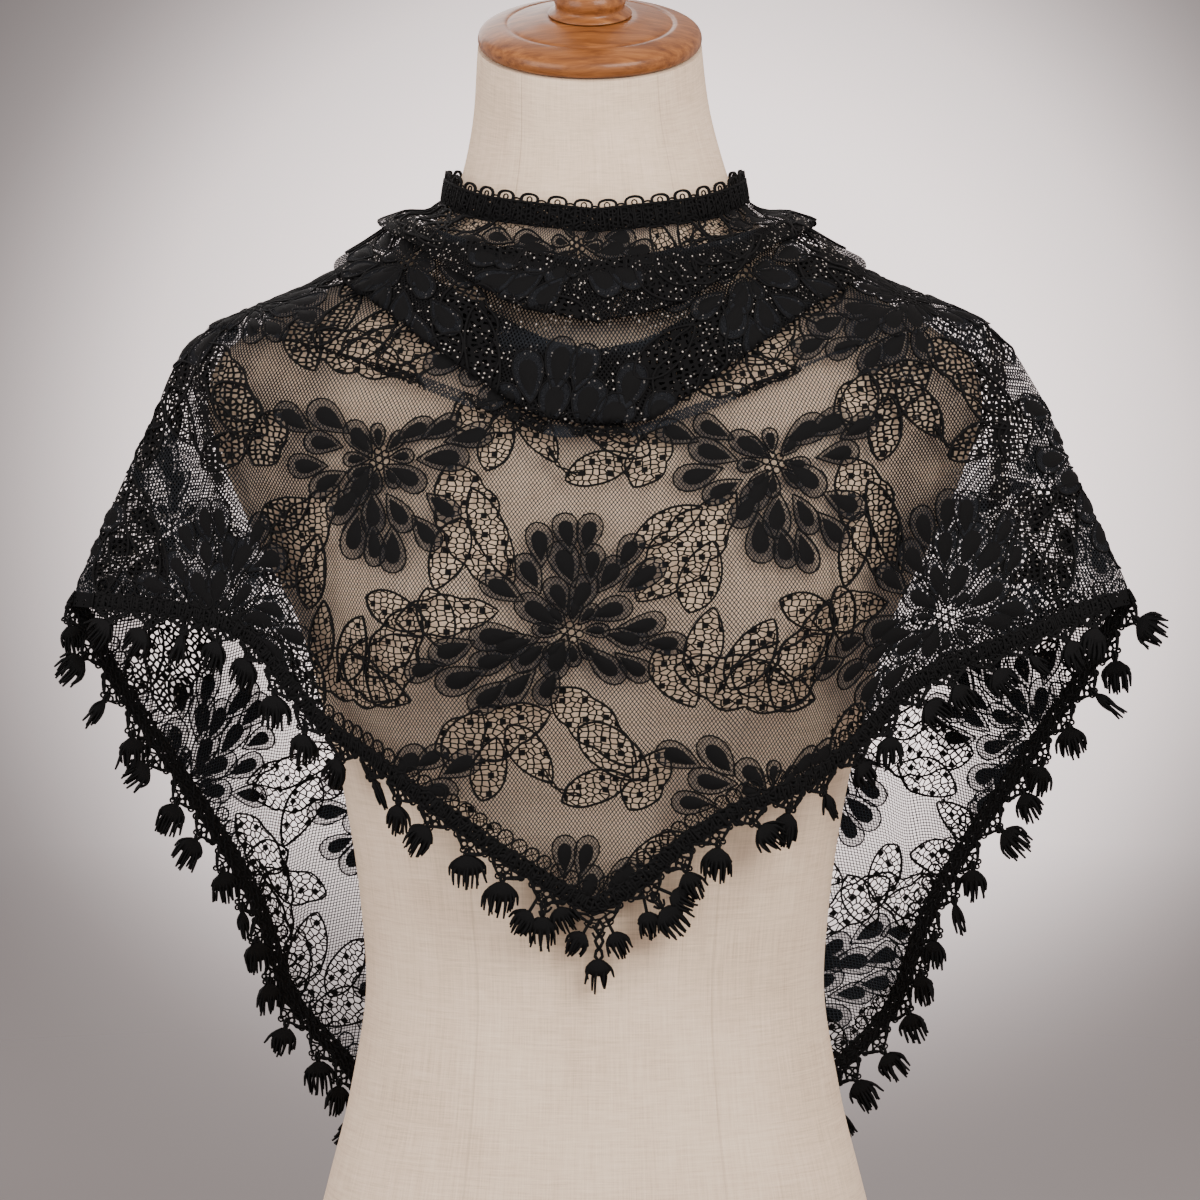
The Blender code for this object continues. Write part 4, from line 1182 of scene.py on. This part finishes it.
class Graph:
    """Short calls for a material's nodes."""

    def __init__(self, name, colour, rough):
        self.material = bpy.data.materials.new(name)
        self.material.use_nodes = True
        self.material.diffuse_color = (*colour, 1)
        self.nodes = self.material.node_tree.nodes
        self.links = self.material.node_tree.links
        self.shader = self.nodes["Principled BSDF"]
        self.shader.inputs["Base Color"].default_value = (*colour, 1)
        self.shader.inputs["Roughness"].default_value = rough

    def node(self, kind, inputs=(), **settings):
        """A node with its settings, and its inputs linked to sockets or set to values."""
        made = self.nodes.new(kind)
        for name, value in settings.items():
            setattr(made, name, value)
        for name, value in dict(inputs).items():
            if isinstance(value, bpy.types.NodeSocket):
                self.links.new(value, made.inputs[name])
            else:
                made.inputs[name].default_value = value
        return made

    def maths(self, operation, *values):
        return self.node("ShaderNodeMath", enumerate(values), operation=operation).outputs[0]

    def scaled(self, vector, scale):
        """A vector with each part scaled."""
        return self.node("ShaderNodeVectorMath", {0: vector, 1: scale}, operation="MULTIPLY").outputs[0]

    def noise(self, vector, scale, detail=2.0, rough=0.5):
        inputs = {"Vector": vector, "Scale": scale, "Detail": detail, "Roughness": rough}
        return self.node("ShaderNodeTexNoise", inputs).outputs["Fac"]

    def between(self, value, low, high, out_low=0.0, out_high=1.0):
        inputs = {"Value": value, "From Min": low, "From Max": high, "To Min": out_low, "To Max": out_high}
        return self.node("ShaderNodeMapRange", inputs).outputs["Result"]

    def ramp(self, value, stops):
        """Colours by value, from (place, colour) rows."""
        made = self.node("ShaderNodeValToRGB", {"Fac": value})
        elements = made.color_ramp.elements
        while len(elements) < len(stops):
            elements.new(0.5)
        for element, (place, colour) in zip(elements, stops):
            element.position = place
            element.color = (*colour, 1)
        return made.outputs["Color"]

    def mixed(self, part, low, high):
        """One colour turned towards another by a share."""
        made = self.node("ShaderNodeMix", {"A": low, "B": high}, data_type="RGBA")
        self.links.new(part, made.inputs["Factor"])
        return made.outputs["Result"]

    def object_mm(self):
        """Places in the piece's own frame, mm."""
        return self.scaled(self.node("ShaderNodeTexCoord").outputs["Object"], (1000.0, 1000.0, 1000.0))

    def map_mm(self, name):
        """The places of a UV map, mm, and their two parts."""
        places = self.scaled(self.node("ShaderNodeUVMap", uv_map=name).outputs["UV"], (1000.0, 1000.0, 0.0))
        parts = self.node("ShaderNodeSeparateXYZ", {0: places})
        return places, parts.outputs["X"], parts.outputs["Y"]

    def bump(self, height, strength, distance):
        made = self.node("ShaderNodeBump", {"Height": height, "Strength": strength, "Distance": distance})
        self.links.new(made.outputs["Normal"], self.shader.inputs["Normal"])

    def into(self, socket, name):
        self.links.new(socket, self.shader.inputs[name])


def net_material():
    """Black tulle: a fine diamond net, and a coarse uneven one with small dots inside the leaves."""
    g = Graph("black_net", NET_BLACK, 0.85)
    places, across, down = g.map_mm("flat")

    def thread_distance(lean):
        """Distance to the nearest thread of one family of parallel threads."""
        turn = math.radians(lean)
        along, aside = g.maths("MULTIPLY", across, math.cos(turn)), g.maths("MULTIPLY", down, math.sin(turn))
        return g.maths("PINGPONG", g.maths("ADD", along, aside), NET["pitch"] / 2)

    one, two = (thread_distance(lean) for lean in NET["leans"])
    nearest = g.maths("MINIMUM", one, two)
    knot = g.maths("MULTIPLY", g.maths("ADD", one, two), NET["knot"])
    gathered = g.node("ShaderNodeAttribute", attribute_name="gathered").outputs["Fac"]
    patchy = g.between(g.noise(places, 0.045, 3.0), 0.36, 0.54, 0.45, 1.1)
    closer = g.maths("MULTIPLY", g.maths("MULTIPLY", gathered, patchy), NET["closer"])
    fine = g.maths("SUBTRACT", g.maths("MINIMUM", nearest, knot), closer)
    fine = g.between(fine, *NET["thread"], 1.0, 0.0)

    cells = g.node(
        "ShaderNodeTexVoronoi",
        {
            "Vector": g.scaled(places, LEAF_NET["stretch"]),
            "Scale": LEAF_NET["scale"],
            "Randomness": LEAF_NET["uneven"],
        },
        voronoi_dimensions="2D",
        feature="DISTANCE_TO_EDGE",
    ).outputs["Distance"]
    coarse = g.between(g.maths("SUBTRACT", cells, closer), *LEAF_NET["thread"], 1.0, 0.0)
    dots = g.node(
        "ShaderNodeTexVoronoi",
        {"Vector": places, "Scale": LEAF_DOTS["scale"], "Randomness": LEAF_DOTS["uneven"]},
        voronoi_dimensions="2D",
        distance="CHEBYCHEV",
    ).outputs["Distance"]
    leafy = g.maths("MAXIMUM", coarse, g.between(dots, *LEAF_DOTS["edge"], 1.0, 0.0))

    depth = g.node("ShaderNodeAttribute", attribute_name="leaf_depth").outputs["Fac"]
    in_leaf = g.between(depth, -0.1, 0.1)
    mesh = g.node("ShaderNodeMix", {0: in_leaf, 2: fine, 3: leafy}).outputs[0]

    flower_middles = []
    for shift, _ in both_flowers():
        squares = []
        for value, axis, aside in ((across, "across", shift[0]), (down, "down", shift[1])):
            half = REPEAT[axis] / 2
            near = g.maths("WRAP", g.maths("SUBTRACT", value, REPEAT[f"start_{axis}"] + aside), half, -half)
            squares.append(g.maths("POWER", g.maths("ABSOLUTE", near), 2.0))
        far = g.maths("SQRT", g.maths("ADD", *squares))
        flower_middles.append(g.between(far, FLOWER_MIDDLE, FLOWER_MIDDLE + 0.3, 1.0, 0.0))
    open_share = g.maths("MULTIPLY", g.maths("MAXIMUM", *flower_middles), FLOWER_HOLE)
    g.into(g.maths("MAXIMUM", g.maths("SUBTRACT", mesh, open_share), 0.0), "Alpha")

    single = g.ramp(g.noise(places, 0.05, 3.0), NET_GREYS)
    # Painted shade: the threads turn black where the cloth is gathered, and in the leaves.
    thread = g.mixed(g.maths("MAXIMUM", gathered, in_leaf), single, PAINTED_SHADE_AND_LEAF_BLACK)
    # Painted light: pale specks painted on the threads where the holes of the gathered layers line up.
    inputs = {"Vector": places, "Scale": PAINTED_LIGHT_SPECKS["scale"]}
    painted_light_cells = g.node("ShaderNodeTexVoronoi", inputs, voronoi_dimensions="2D")
    chosen = g.node("ShaderNodeSeparateColor", {0: painted_light_cells.outputs["Color"]}).outputs["Red"]
    small = g.between(painted_light_cells.outputs["Distance"], *PAINTED_LIGHT_SPECKS["edge"], 1.0, 0.0)
    through = g.maths("MULTIPLY", small, g.between(chosen, *PAINTED_LIGHT_SPECKS["chosen"]))
    through = g.maths("MULTIPLY", through, g.between(gathered, *PAINTED_LIGHT_SPECKS["gathered"]))
    g.into(g.mixed(through, thread, PAINTED_LIGHT_COLOUR), "Base Color")
    g.shader.inputs["Specular IOR Level"].default_value = THREAD_SPECULAR
    g.bump(g.maths("ADD", one, two), 0.4, 0.0002)
    return g.material


def halo_material():
    """The sheer filling round each petal, closer in some places than in others."""
    g = Graph("black_sheer_fill", FILL_GREY, 0.85)
    weave = g.noise(g.object_mm(), 1.6, 2.0, 0.6)
    g.into(g.between(weave, 0.35, 0.65, 0.3, 0.6), "Alpha")
    g.into(g.ramp(weave, FILL_GREYS), "Base Color")
    g.shader.inputs["Specular IOR Level"].default_value = THREAD_SPECULAR
    g.bump(weave, 0.5, 0.0002)
    return g.material


def thread_material(name, colour, rough, scale=1.1):
    """Twisted matt black yarn."""
    g = Graph(name, colour, rough)
    twist = g.noise(g.scaled(g.object_mm(), (1.0, 1.0, 1.6)), scale, 3.0, 0.6)
    dark = tuple(0.6 * value for value in colour)
    light = tuple(1.6 * value for value in colour)
    g.into(g.ramp(twist, ((0.3, dark), (0.7, light))), "Base Color")
    g.into(g.between(twist, 0.3, 0.7, rough - 0.08, rough + 0.08), "Roughness")
    g.shader.inputs["Specular IOR Level"].default_value = 0.14
    g.bump(twist, 0.6, 0.0004)
    return g.material


def band_material():
    """The dense ground under the trim's cords, with small pinholes."""
    g = Graph("black_band", BAND_BLACK, 0.85)
    place = g.object_mm()
    holes = g.node("ShaderNodeTexVoronoi", {"Vector": place, "Scale": 0.42}).outputs["Distance"]
    g.into(g.between(holes, 0.16, 0.26), "Alpha")
    g.shader.inputs["Specular IOR Level"].default_value = THREAD_SPECULAR
    g.bump(g.noise(place, 1.2), 0.6, 0.0005)
    return g.material


def linen_material():
    """Cream linen: uneven warp and weft threads with slubs, drawn tight over the form, and seams."""
    g = Graph("cream_linen", LINEN, 0.85)
    places, across, _ = g.map_mm("around")
    warp = g.noise(g.scaled(places, (1.5, 0.05, 1.0)), 1.0, 3.0, 0.6)
    weft = g.noise(g.scaled(places, (0.05, 1.5, 1.0)), 1.0, 3.0, 0.6)
    slub_up = g.noise(g.scaled(places, (0.55, 0.02, 1.0)), 1.0, 2.0)
    slub_across = g.noise(g.scaled(places, (0.02, 0.55, 1.0)), 1.0, 2.0)
    cloudy = g.noise(places, 0.012, 3.0)
    threads = g.maths("ADD", g.maths("MULTIPLY", warp, 0.5), g.maths("MULTIPLY", weft, 0.5))
    slubs = g.maths("ADD", g.maths("MULTIPLY", slub_up, 0.5), g.maths("MULTIPLY", slub_across, 0.5))
    tone = g.maths("ADD", g.maths("MULTIPLY", threads, 0.5), g.maths("MULTIPLY", slubs, 0.3))
    tone = g.maths("ADD", tone, g.maths("MULTIPLY", cloudy, 0.2))
    colour = g.ramp(tone, LINEN_TONES)
    from_back = g.maths("PINGPONG", across, SEAMS["half_way_round"])
    side_seam = g.maths("PINGPONG", g.maths("SUBTRACT", from_back, SEAMS["first"]), SEAMS["apart"] / 2)
    seam = g.maths("MINIMUM", side_seam, from_back)
    groove = g.between(seam, 0.3, 1.3, 1.0, 0.0)
    g.into(g.mixed(g.maths("MULTIPLY", groove, 0.3), colour, SEAM_COLOUR), "Base Color")
    weave = g.maths("SUBTRACT", threads, g.maths("MULTIPLY", groove, 0.8))
    g.bump(weave, 0.55, 0.0006)
    g.shader.inputs["Specular IOR Level"].default_value = 0.25
    return g.material


def wood_material():
    """Honey coloured wood under a clear gloss varnish, with fine grain and pores."""
    g = Graph("varnished_wood", WOOD, 0.42)
    place = g.object_mm()
    slow = g.scaled(place, (0.02, 0.02, 0.02))
    shaken = g.node("ShaderNodeTexNoise", {"Vector": slow, "Scale": 1.0, "Detail": 2.0}).outputs["Color"]
    sway = g.scaled(shaken, (16.0, 16.0, 16.0))
    moved = g.node("ShaderNodeVectorMath", {0: place, 1: sway}, operation="ADD").outputs[0]
    rings = g.noise(g.scaled(moved, (0.02, 0.32, 0.36)), 1.0, 3.0, 0.55)
    pores = g.noise(g.scaled(moved, (0.05, 1.7, 1.7)), 1.0, 3.0, 0.6)
    grain = g.maths("ADD", g.maths("MULTIPLY", rings, 0.72), g.maths("MULTIPLY", pores, 0.28))
    g.into(g.ramp(grain, WOOD_TONES), "Base Color")
    g.shader.inputs["Specular IOR Level"].default_value = 0.25
    g.shader.inputs["Coat Weight"].default_value = 0.22
    g.shader.inputs["Coat Roughness"].default_value = 0.16
    g.bump(pores, 0.12, 0.0003)
    return g.material


def lathe(name, profile, sides, material):
    """A turned wooden piece on the neck's tilted axis. Its profile is rounded first."""
    rows = np.array([[row["radius"], row["height"]] for row in profile], float)[None]
    rows = cut_corners(cut_corners(rows))[0]
    cos_tilt = 1 / math.hypot(1, NECK_TILT)
    sin_tilt = NECK_TILT * cos_tilt
    turn = 2 * math.pi * np.arange(sides) / sides
    points = []
    for radius, height in rows:
        x, y = radius * np.cos(turn), radius * np.sin(turn)
        out = y * cos_tilt - height * sin_tilt
        up = NECK_TOP + y * sin_tilt + height * cos_tilt
        points.append(np.stack([x + NECK_SHIFT, out, up], 1))
    faces = [tuple(range(sides))[::-1], tuple(range((len(rows) - 1) * sides, len(rows) * sides))]
    faces += grid_quads(grid_index(len(rows), sides, around=True)).tolist()
    return mesh_piece(name, np.concatenate(points), faces, material)


CAP_PROFILE = table(
    "radius height",
    (50.0, 0.6),
    (53.8, 0.6),
    (55.4, 2.6),
    (55.6, 5.5),
    (54.2, 8.6),
    (49.0, 11.0),
    (43.5, 12.4),
    (42.0, 12.3),
    (40.8, 11.9),
    (39.4, 13.0),
    (30.0, 15.0),
    (24.0, 16.4),
    (17.0, 16.7),
)
FINIAL_PROFILE = table(
    "radius height",
    (17.0, 17.0),
    (21.0, 17.0),
    (20.6, 18.2),
    (17.6, 19.6),
    (17.0, 21.5),
    (18.2, 25.0),
    (16.6, 29.0),
    (12.6, 31.6),
    (15.4, 33.4),
    (12.0, 35.4),
    (9.0, 42.0),
    (9.6, 48.0),
    (15.0, 55.0),
    (17.0, 62.0),
    (14.0, 69.0),
    (6.0, 73.0),
    (1.0, 73.2),
)


def dress_form(material):
    """The linen covered torso and neck."""
    sides, step = 144, 6.0
    levels = np.concatenate([[0, 0.8, 2.5], np.arange(6, 727, step), [NECK_TOP]])
    angles = np.linspace(-180, 180, sides + 1)
    turns, heights = np.meshgrid(angles, levels, indexing="ij")
    radii = body_radius(turns, heights)
    radii[:, 0] -= 3.0
    radii[:, 1] -= 1.0
    lift = share(655, NECK_TOP, heights)
    points = on_turn(turns, radii, heights)
    points[..., 2] += lift * points[..., 1] * NECK_TILT
    points[..., 0] += lift * NECK_SHIFT
    rows = len(levels)
    index = np.arange(turns.size).reshape(turns.shape)
    index[-1] = index[0]
    quads = grid_quads(index, turned=True).tolist()
    base = [int(v) for v in index[:-1, 0]]
    crown = [int(v) for v in index[:-1, -1]]
    faces = quads + [base[::-1], crown]
    points = points[:-1].reshape(-1, 3)
    made = mesh_piece("dress_form_cover", points, faces, material)
    around = made.data.uv_layers.new(name="around")
    mean = 150.0 * MM
    for face in made.data.polygons:
        last = face.index // (rows - 1) == sides - 1
        for loop in face.loop_indices:
            vertex = made.data.loops[loop].vertex_index
            column, row = divmod(vertex, rows)
            turn = 2 * math.pi if last and column == 0 else 2 * math.pi * column / sides
            around.data[loop].uv = (turn * mean, levels[row] * MM)
    made.data.set_sharp_from_angle(angle=math.radians(50))
    return made


def gather_share(points):
    """How far the net is drawn together: 1 in the cowl, 0 in the open cloth, more in the arms' creases."""
    # The net's painted shade and painted light specks follow this share too.
    angle = np.abs(np.degrees(np.arctan2(points[:, 0], -points[:, 1])))
    z = points[:, 2]
    lip = smooth_read(LOWER_FOLD, "angle", "lip", angle)
    crown = sum(smooth_read(UPPER_FOLD, "angle", name, angle) for name in ("lip", "overlap"))
    crown = crown + 22 * share(48, 74, angle)
    inside = share(lip - 5, lip + 3, z) * (1 - share(crown - 1, crown + 7, z))
    gap = np.exp(-(((z - 586) / 5.0) ** 2) - (angle / 34.0) ** 2)
    cowl = inside * (1 - 0.85 * gap) * (1 - share(96, 112, angle))
    at_arm = share(*BESIDE_ARM["from"], angle) * (1 - share(*BESIDE_ARM["to"], angle))
    beside_arm = BESIDE_ARM["share"] * at_arm
    left = ARM_CREASE["left"] - ARM_CREASE["left_slope"] * (ARM_CREASE["left_z"] - z)
    crease = np.where(points[:, 0] < 0, left, ARM_CREASE["right"])
    off = (np.abs(points[:, 0]) - crease) / ARM_CREASE["width"]
    in_front = (1 - share(585, 615, z)) * (1 - share(86, 94, angle))
    arm_line = ARM_CREASE["share"] * np.exp(-(off**2)) * in_front
    return np.maximum(cowl, np.maximum(beside_arm, arm_line))


def net_piece(name, cloth, columns, material):
    """One stretch of the net as a thin sheet, with its flat places and how deep in a leaf each point lies."""
    first, last = columns
    grid, flat = cloth.grid[first : last + 1], cloth.flat[first : last + 1]
    quads = grid_quads(grid_index(*grid.shape[:2]))
    made = mesh_piece(name, grid.reshape(-1, 3), quads.tolist(), material)
    uv = made.data.uv_layers.new(name="flat")
    uv.data.foreach_set("uv", (flat.reshape(-1, 2)[quads.reshape(-1)] * MM).reshape(-1))
    gathered = made.data.attributes.new("gathered", "FLOAT", "POINT")
    gathered.data.foreach_set("value", gather_share(grid.reshape(-1, 3)))
    depth = made.data.attributes.new("leaf_depth", "FLOAT", "POINT")
    depth.data.foreach_set("value", inside_leaf(flat.reshape(-1, 2)))
    p, q = flat[1:, 1:] - flat[:-1, :-1], flat[1:, :-1] - flat[:-1, 1:]
    area = np.abs(p[..., 0] * q[..., 1] - p[..., 1] * q[..., 0]).sum() / 2
    low, high = flat.reshape(-1, 2).min(0), flat.reshape(-1, 2).max(0)
    size = (high - low) * MM
    print(name, "flat size m", size.round(3), "area m2", round(area * MM * MM, 4))
    return made, tuple(float(v) for v in size), float(area * MM * MM)


def area_light(name, place, aim, size, power, colour):
    """A soft square light that faces a point."""
    data = bpy.data.lights.new(name, "AREA")
    data.size, data.energy, data.color = size, power, colour
    made = bpy.data.objects.new(name, data)
    made.location = place
    made.rotation_euler = (Vector(aim) - Vector(place)).to_track_quat("-Z", "Y").to_euler()
    bpy.context.scene.collection.objects.link(made)


# The surround: brightest behind the form, darker round it, and even elsewhere.
GLOW_TOWARD = (0.012, 1.0, -0.056)
GLOW_STRENGTH = 2.7
GLOW = table(
    "far level",
    (0.0, 1.0),
    (0.08, 0.82),
    (0.11, 0.55),
    (0.13, 0.28),
    (0.15, 0.14),
    (0.18, 0.07),
    (0.3, 0.13),
    (0.7, 0.35),
)


# The studio's soft lights, in metres and watts.
LIGHTS = table(
    "name place aim size power colour",
    ("key", (1.2, -2.0, 1.7), (0, 0, 0.45), 1.5, 70, (1.0, 0.98, 0.96)),
    ("fill", (-1.7, -1.6, 1.0), (0, 0, 0.45), 1.7, 37, (0.98, 0.98, 1.0)),
    ("rim", (-0.6, 1.8, 1.7), (0, 0, 0.5), 1.5, 20, (1.0, 0.98, 0.96)),
)
FLOOR = {"colour": (0.20, 0.185, 0.18), "fade": (0.6, 2.6), "sides": 64}
FLOOR_RINGS = (0.5, 1.0, 1.6, 2.4, 3.2, 4.0)


def studio():
    """A pale floor that fades into a pale surround, three soft lights and the camera."""
    g = Graph("pale_floor", FLOOR["colour"], 0.95)
    place = g.node("ShaderNodeTexCoord").outputs["Object"]
    far = g.node("ShaderNodeVectorMath", {0: place}, operation="LENGTH").outputs["Value"]
    g.into(g.between(far, *FLOOR["fade"], 1.0, 0.0), "Alpha")
    sides = FLOOR["sides"]
    points = [(0.0, 0.0, 0.0)]
    for radius in FLOOR_RINGS:
        for k in range(sides):
            turn = 2 * math.pi * k / sides
            points.append((radius * math.cos(turn), radius * math.sin(turn), 0.0))
    faces = [(0, 1 + k, 1 + (k + 1) % sides) for k in range(sides)]
    outer = 1 + grid_index(len(FLOOR_RINGS), sides, around=True)
    faces += grid_quads(outer, turned=True).tolist()
    mesh = bpy.data.meshes.new("floor")
    mesh.from_pydata(points, [], faces)
    mesh.materials.append(g.material)
    floor = bpy.data.objects.new("floor", mesh)
    bpy.context.scene.collection.objects.link(floor)

    world = bpy.data.worlds.new("pale_surround")
    world.use_nodes = True
    sky = world.node_tree.nodes["Background"]
    nodes, links = world.node_tree.nodes, world.node_tree.links
    toward = nodes.new("ShaderNodeTexCoord")
    from_glow = nodes.new("ShaderNodeVectorMath")
    from_glow.operation = "DISTANCE"
    from_glow.inputs[1].default_value = GLOW_TOWARD
    fall = nodes.new("ShaderNodeValToRGB")
    fall.color_ramp.interpolation = "B_SPLINE"
    elements = fall.color_ramp.elements
    while len(elements) < len(GLOW):
        elements.new(0.5)
    for element, row in zip(elements, GLOW):
        element.position = row["far"]
        element.color = (row["level"], row["level"] * 0.87, row["level"] * 0.855, 1)
    links.new(toward.outputs["Generated"], from_glow.inputs[0])
    links.new(from_glow.outputs["Value"], fall.inputs["Fac"])
    links.new(fall.outputs["Color"], sky.inputs["Color"])
    sky.inputs["Strength"].default_value = GLOW_STRENGTH
    bpy.context.scene.world = world

    for light in LIGHTS:
        area_light(**light)

    data = bpy.data.cameras.new("camera")
    data.lens, data.sensor_width = CAMERA["lens"], CAMERA["sensor"]
    camera = bpy.data.objects.new("camera", data)
    turn = math.radians(CAMERA["elevation"])
    aim = Vector(CAMERA["aim"])
    camera.location = aim + Vector((0, -math.cos(turn), math.sin(turn))) * CAMERA["distance"]
    camera.rotation_euler = (aim - camera.location).to_track_quat("-Z", "Y").to_euler()
    bpy.context.scene.collection.objects.link(camera)
    bpy.context.scene.camera = camera


def build():
    """Lays the cloth, carries the lace's pattern and edgings onto it, and hides the imported solids that its
    pieces stand in for.
    """
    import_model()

    half = np.concatenate(
        [spread_angles(0, 90, FRONT_COLUMNS // 2), spread_angles(90, SLIT_ANGLE["neck"], BACK_COLUMNS)[1:]]
    )
    angles = np.concatenate([-half[:0:-1], half])
    grid = lay_cloth(angles)
    cloth = Cloth(grid, flat_places(grid))
    first, last, end = BACK_COLUMNS, BACK_COLUMNS + FRONT_COLUMNS, len(angles) - 1

    cord = thread_material("black_cord", (0.0026, 0.0026, 0.0027), 0.82)
    silk = thread_material("black_satin_stitch", (0.0018, 0.0018, 0.0019), 0.8, 2.4)
    net, halo, band = net_material(), halo_material(), band_material()

    form = dress_form(linen_material())
    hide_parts("form_body")
    wood = wood_material()
    cap = lathe("neck_cap", CAP_PROFILE, 96, wood)
    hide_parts("form_cap")
    finial = lathe("finial", FINIAL_PROFILE, 64, wood)
    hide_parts("form_finial")

    piles = {(kind, side): Pile() for kind in ("halo", "core", "cord") for side in SIDES}
    lay_petals(cloth, piles)
    lay_leaves(cloth, piles)
    lay_middles(cloth, piles)
    kinds = (("halo", halo, "petal_fill"), ("core", silk, "petal_stitch"), ("cord", cord, "pattern_cord"))
    on_net = {side: [] for side in SIDES}
    for side in SIDES:
        for kind, material, name in kinds:
            on_net[side].append(piles[kind, side].make(f"{name}_{side}", material, "lace"))

    draw = np.random.default_rng(SEED + 1)
    stretches = {"front": grid[first : last + 1], "back_left": grid[first::-1], "back_right": grid[last:]}
    for side, part in stretches.items():
        edge = Edge(part[:, -1], part[:, -12])
        pile = Pile()
        count = int(edge.length / TASSEL_PITCH)
        if side == "front":
            count = (count - 1) // 2 * 2 + 1
            start = edge.length / 2 - (count - 1) / 2 * TASSEL_PITCH
            trim(edge, pile, start, count, draw, count // 2)
        else:
            trim(edge, pile, TASSEL_PITCH / 2, count, draw)
        made = pile.make(f"tassel_trim_{side}", cord, "trim")
        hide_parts(f"trim_{side}")
        points, faces = band_strip(edge, TRIM_BAND["near"], TRIM_BAND["far"], 5)
        strip = mesh_piece(f"trim_ground_{side}", points, faces, band)
        on_net[side] += [made, strip]

    neck_line = np.concatenate([grid[: first + 1, 0], grid[first + 1 :, 0]])
    neck_inner = neck_line * np.array([1.02, 1.02, 1]) - np.array([0, 0, 10])
    long_edges = {
        "neck": (Edge(neck_line, neck_inner), NECK_BAND_HEIGHT, 4.7),
        "back_left": (Edge(grid[0], grid[3]), BACK_BAND_WIDTH, 4.3),
        "back_right": (Edge(grid[-1], grid[-4]), BACK_BAND_WIDTH, 4.3),
    }
    for name, (edge, height, rise) in long_edges.items():
        pile = Pile()
        picots(edge, pile, height, rise, draw)
        made = pile.make(f"picot_edging_{name}", cord, "trim")
        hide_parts(f"picot_{name}")
        points, faces = band_strip(edge, 0.2, height - 0.6, 6)
        strip = mesh_piece(f"picot_ground_{name}", points, faces, band)
        on_net["front" if name == "neck" else name] += [made, strip]

    spans = {"front": (first, last), "back_left": (0, first), "back_right": (last, end)}
    for side, columns in spans.items():
        made, size, area = net_piece(f"net_{side}", cloth, columns, net)
        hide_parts(f"lace_{side}")
        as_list(on_net[side])

    studio()


build()
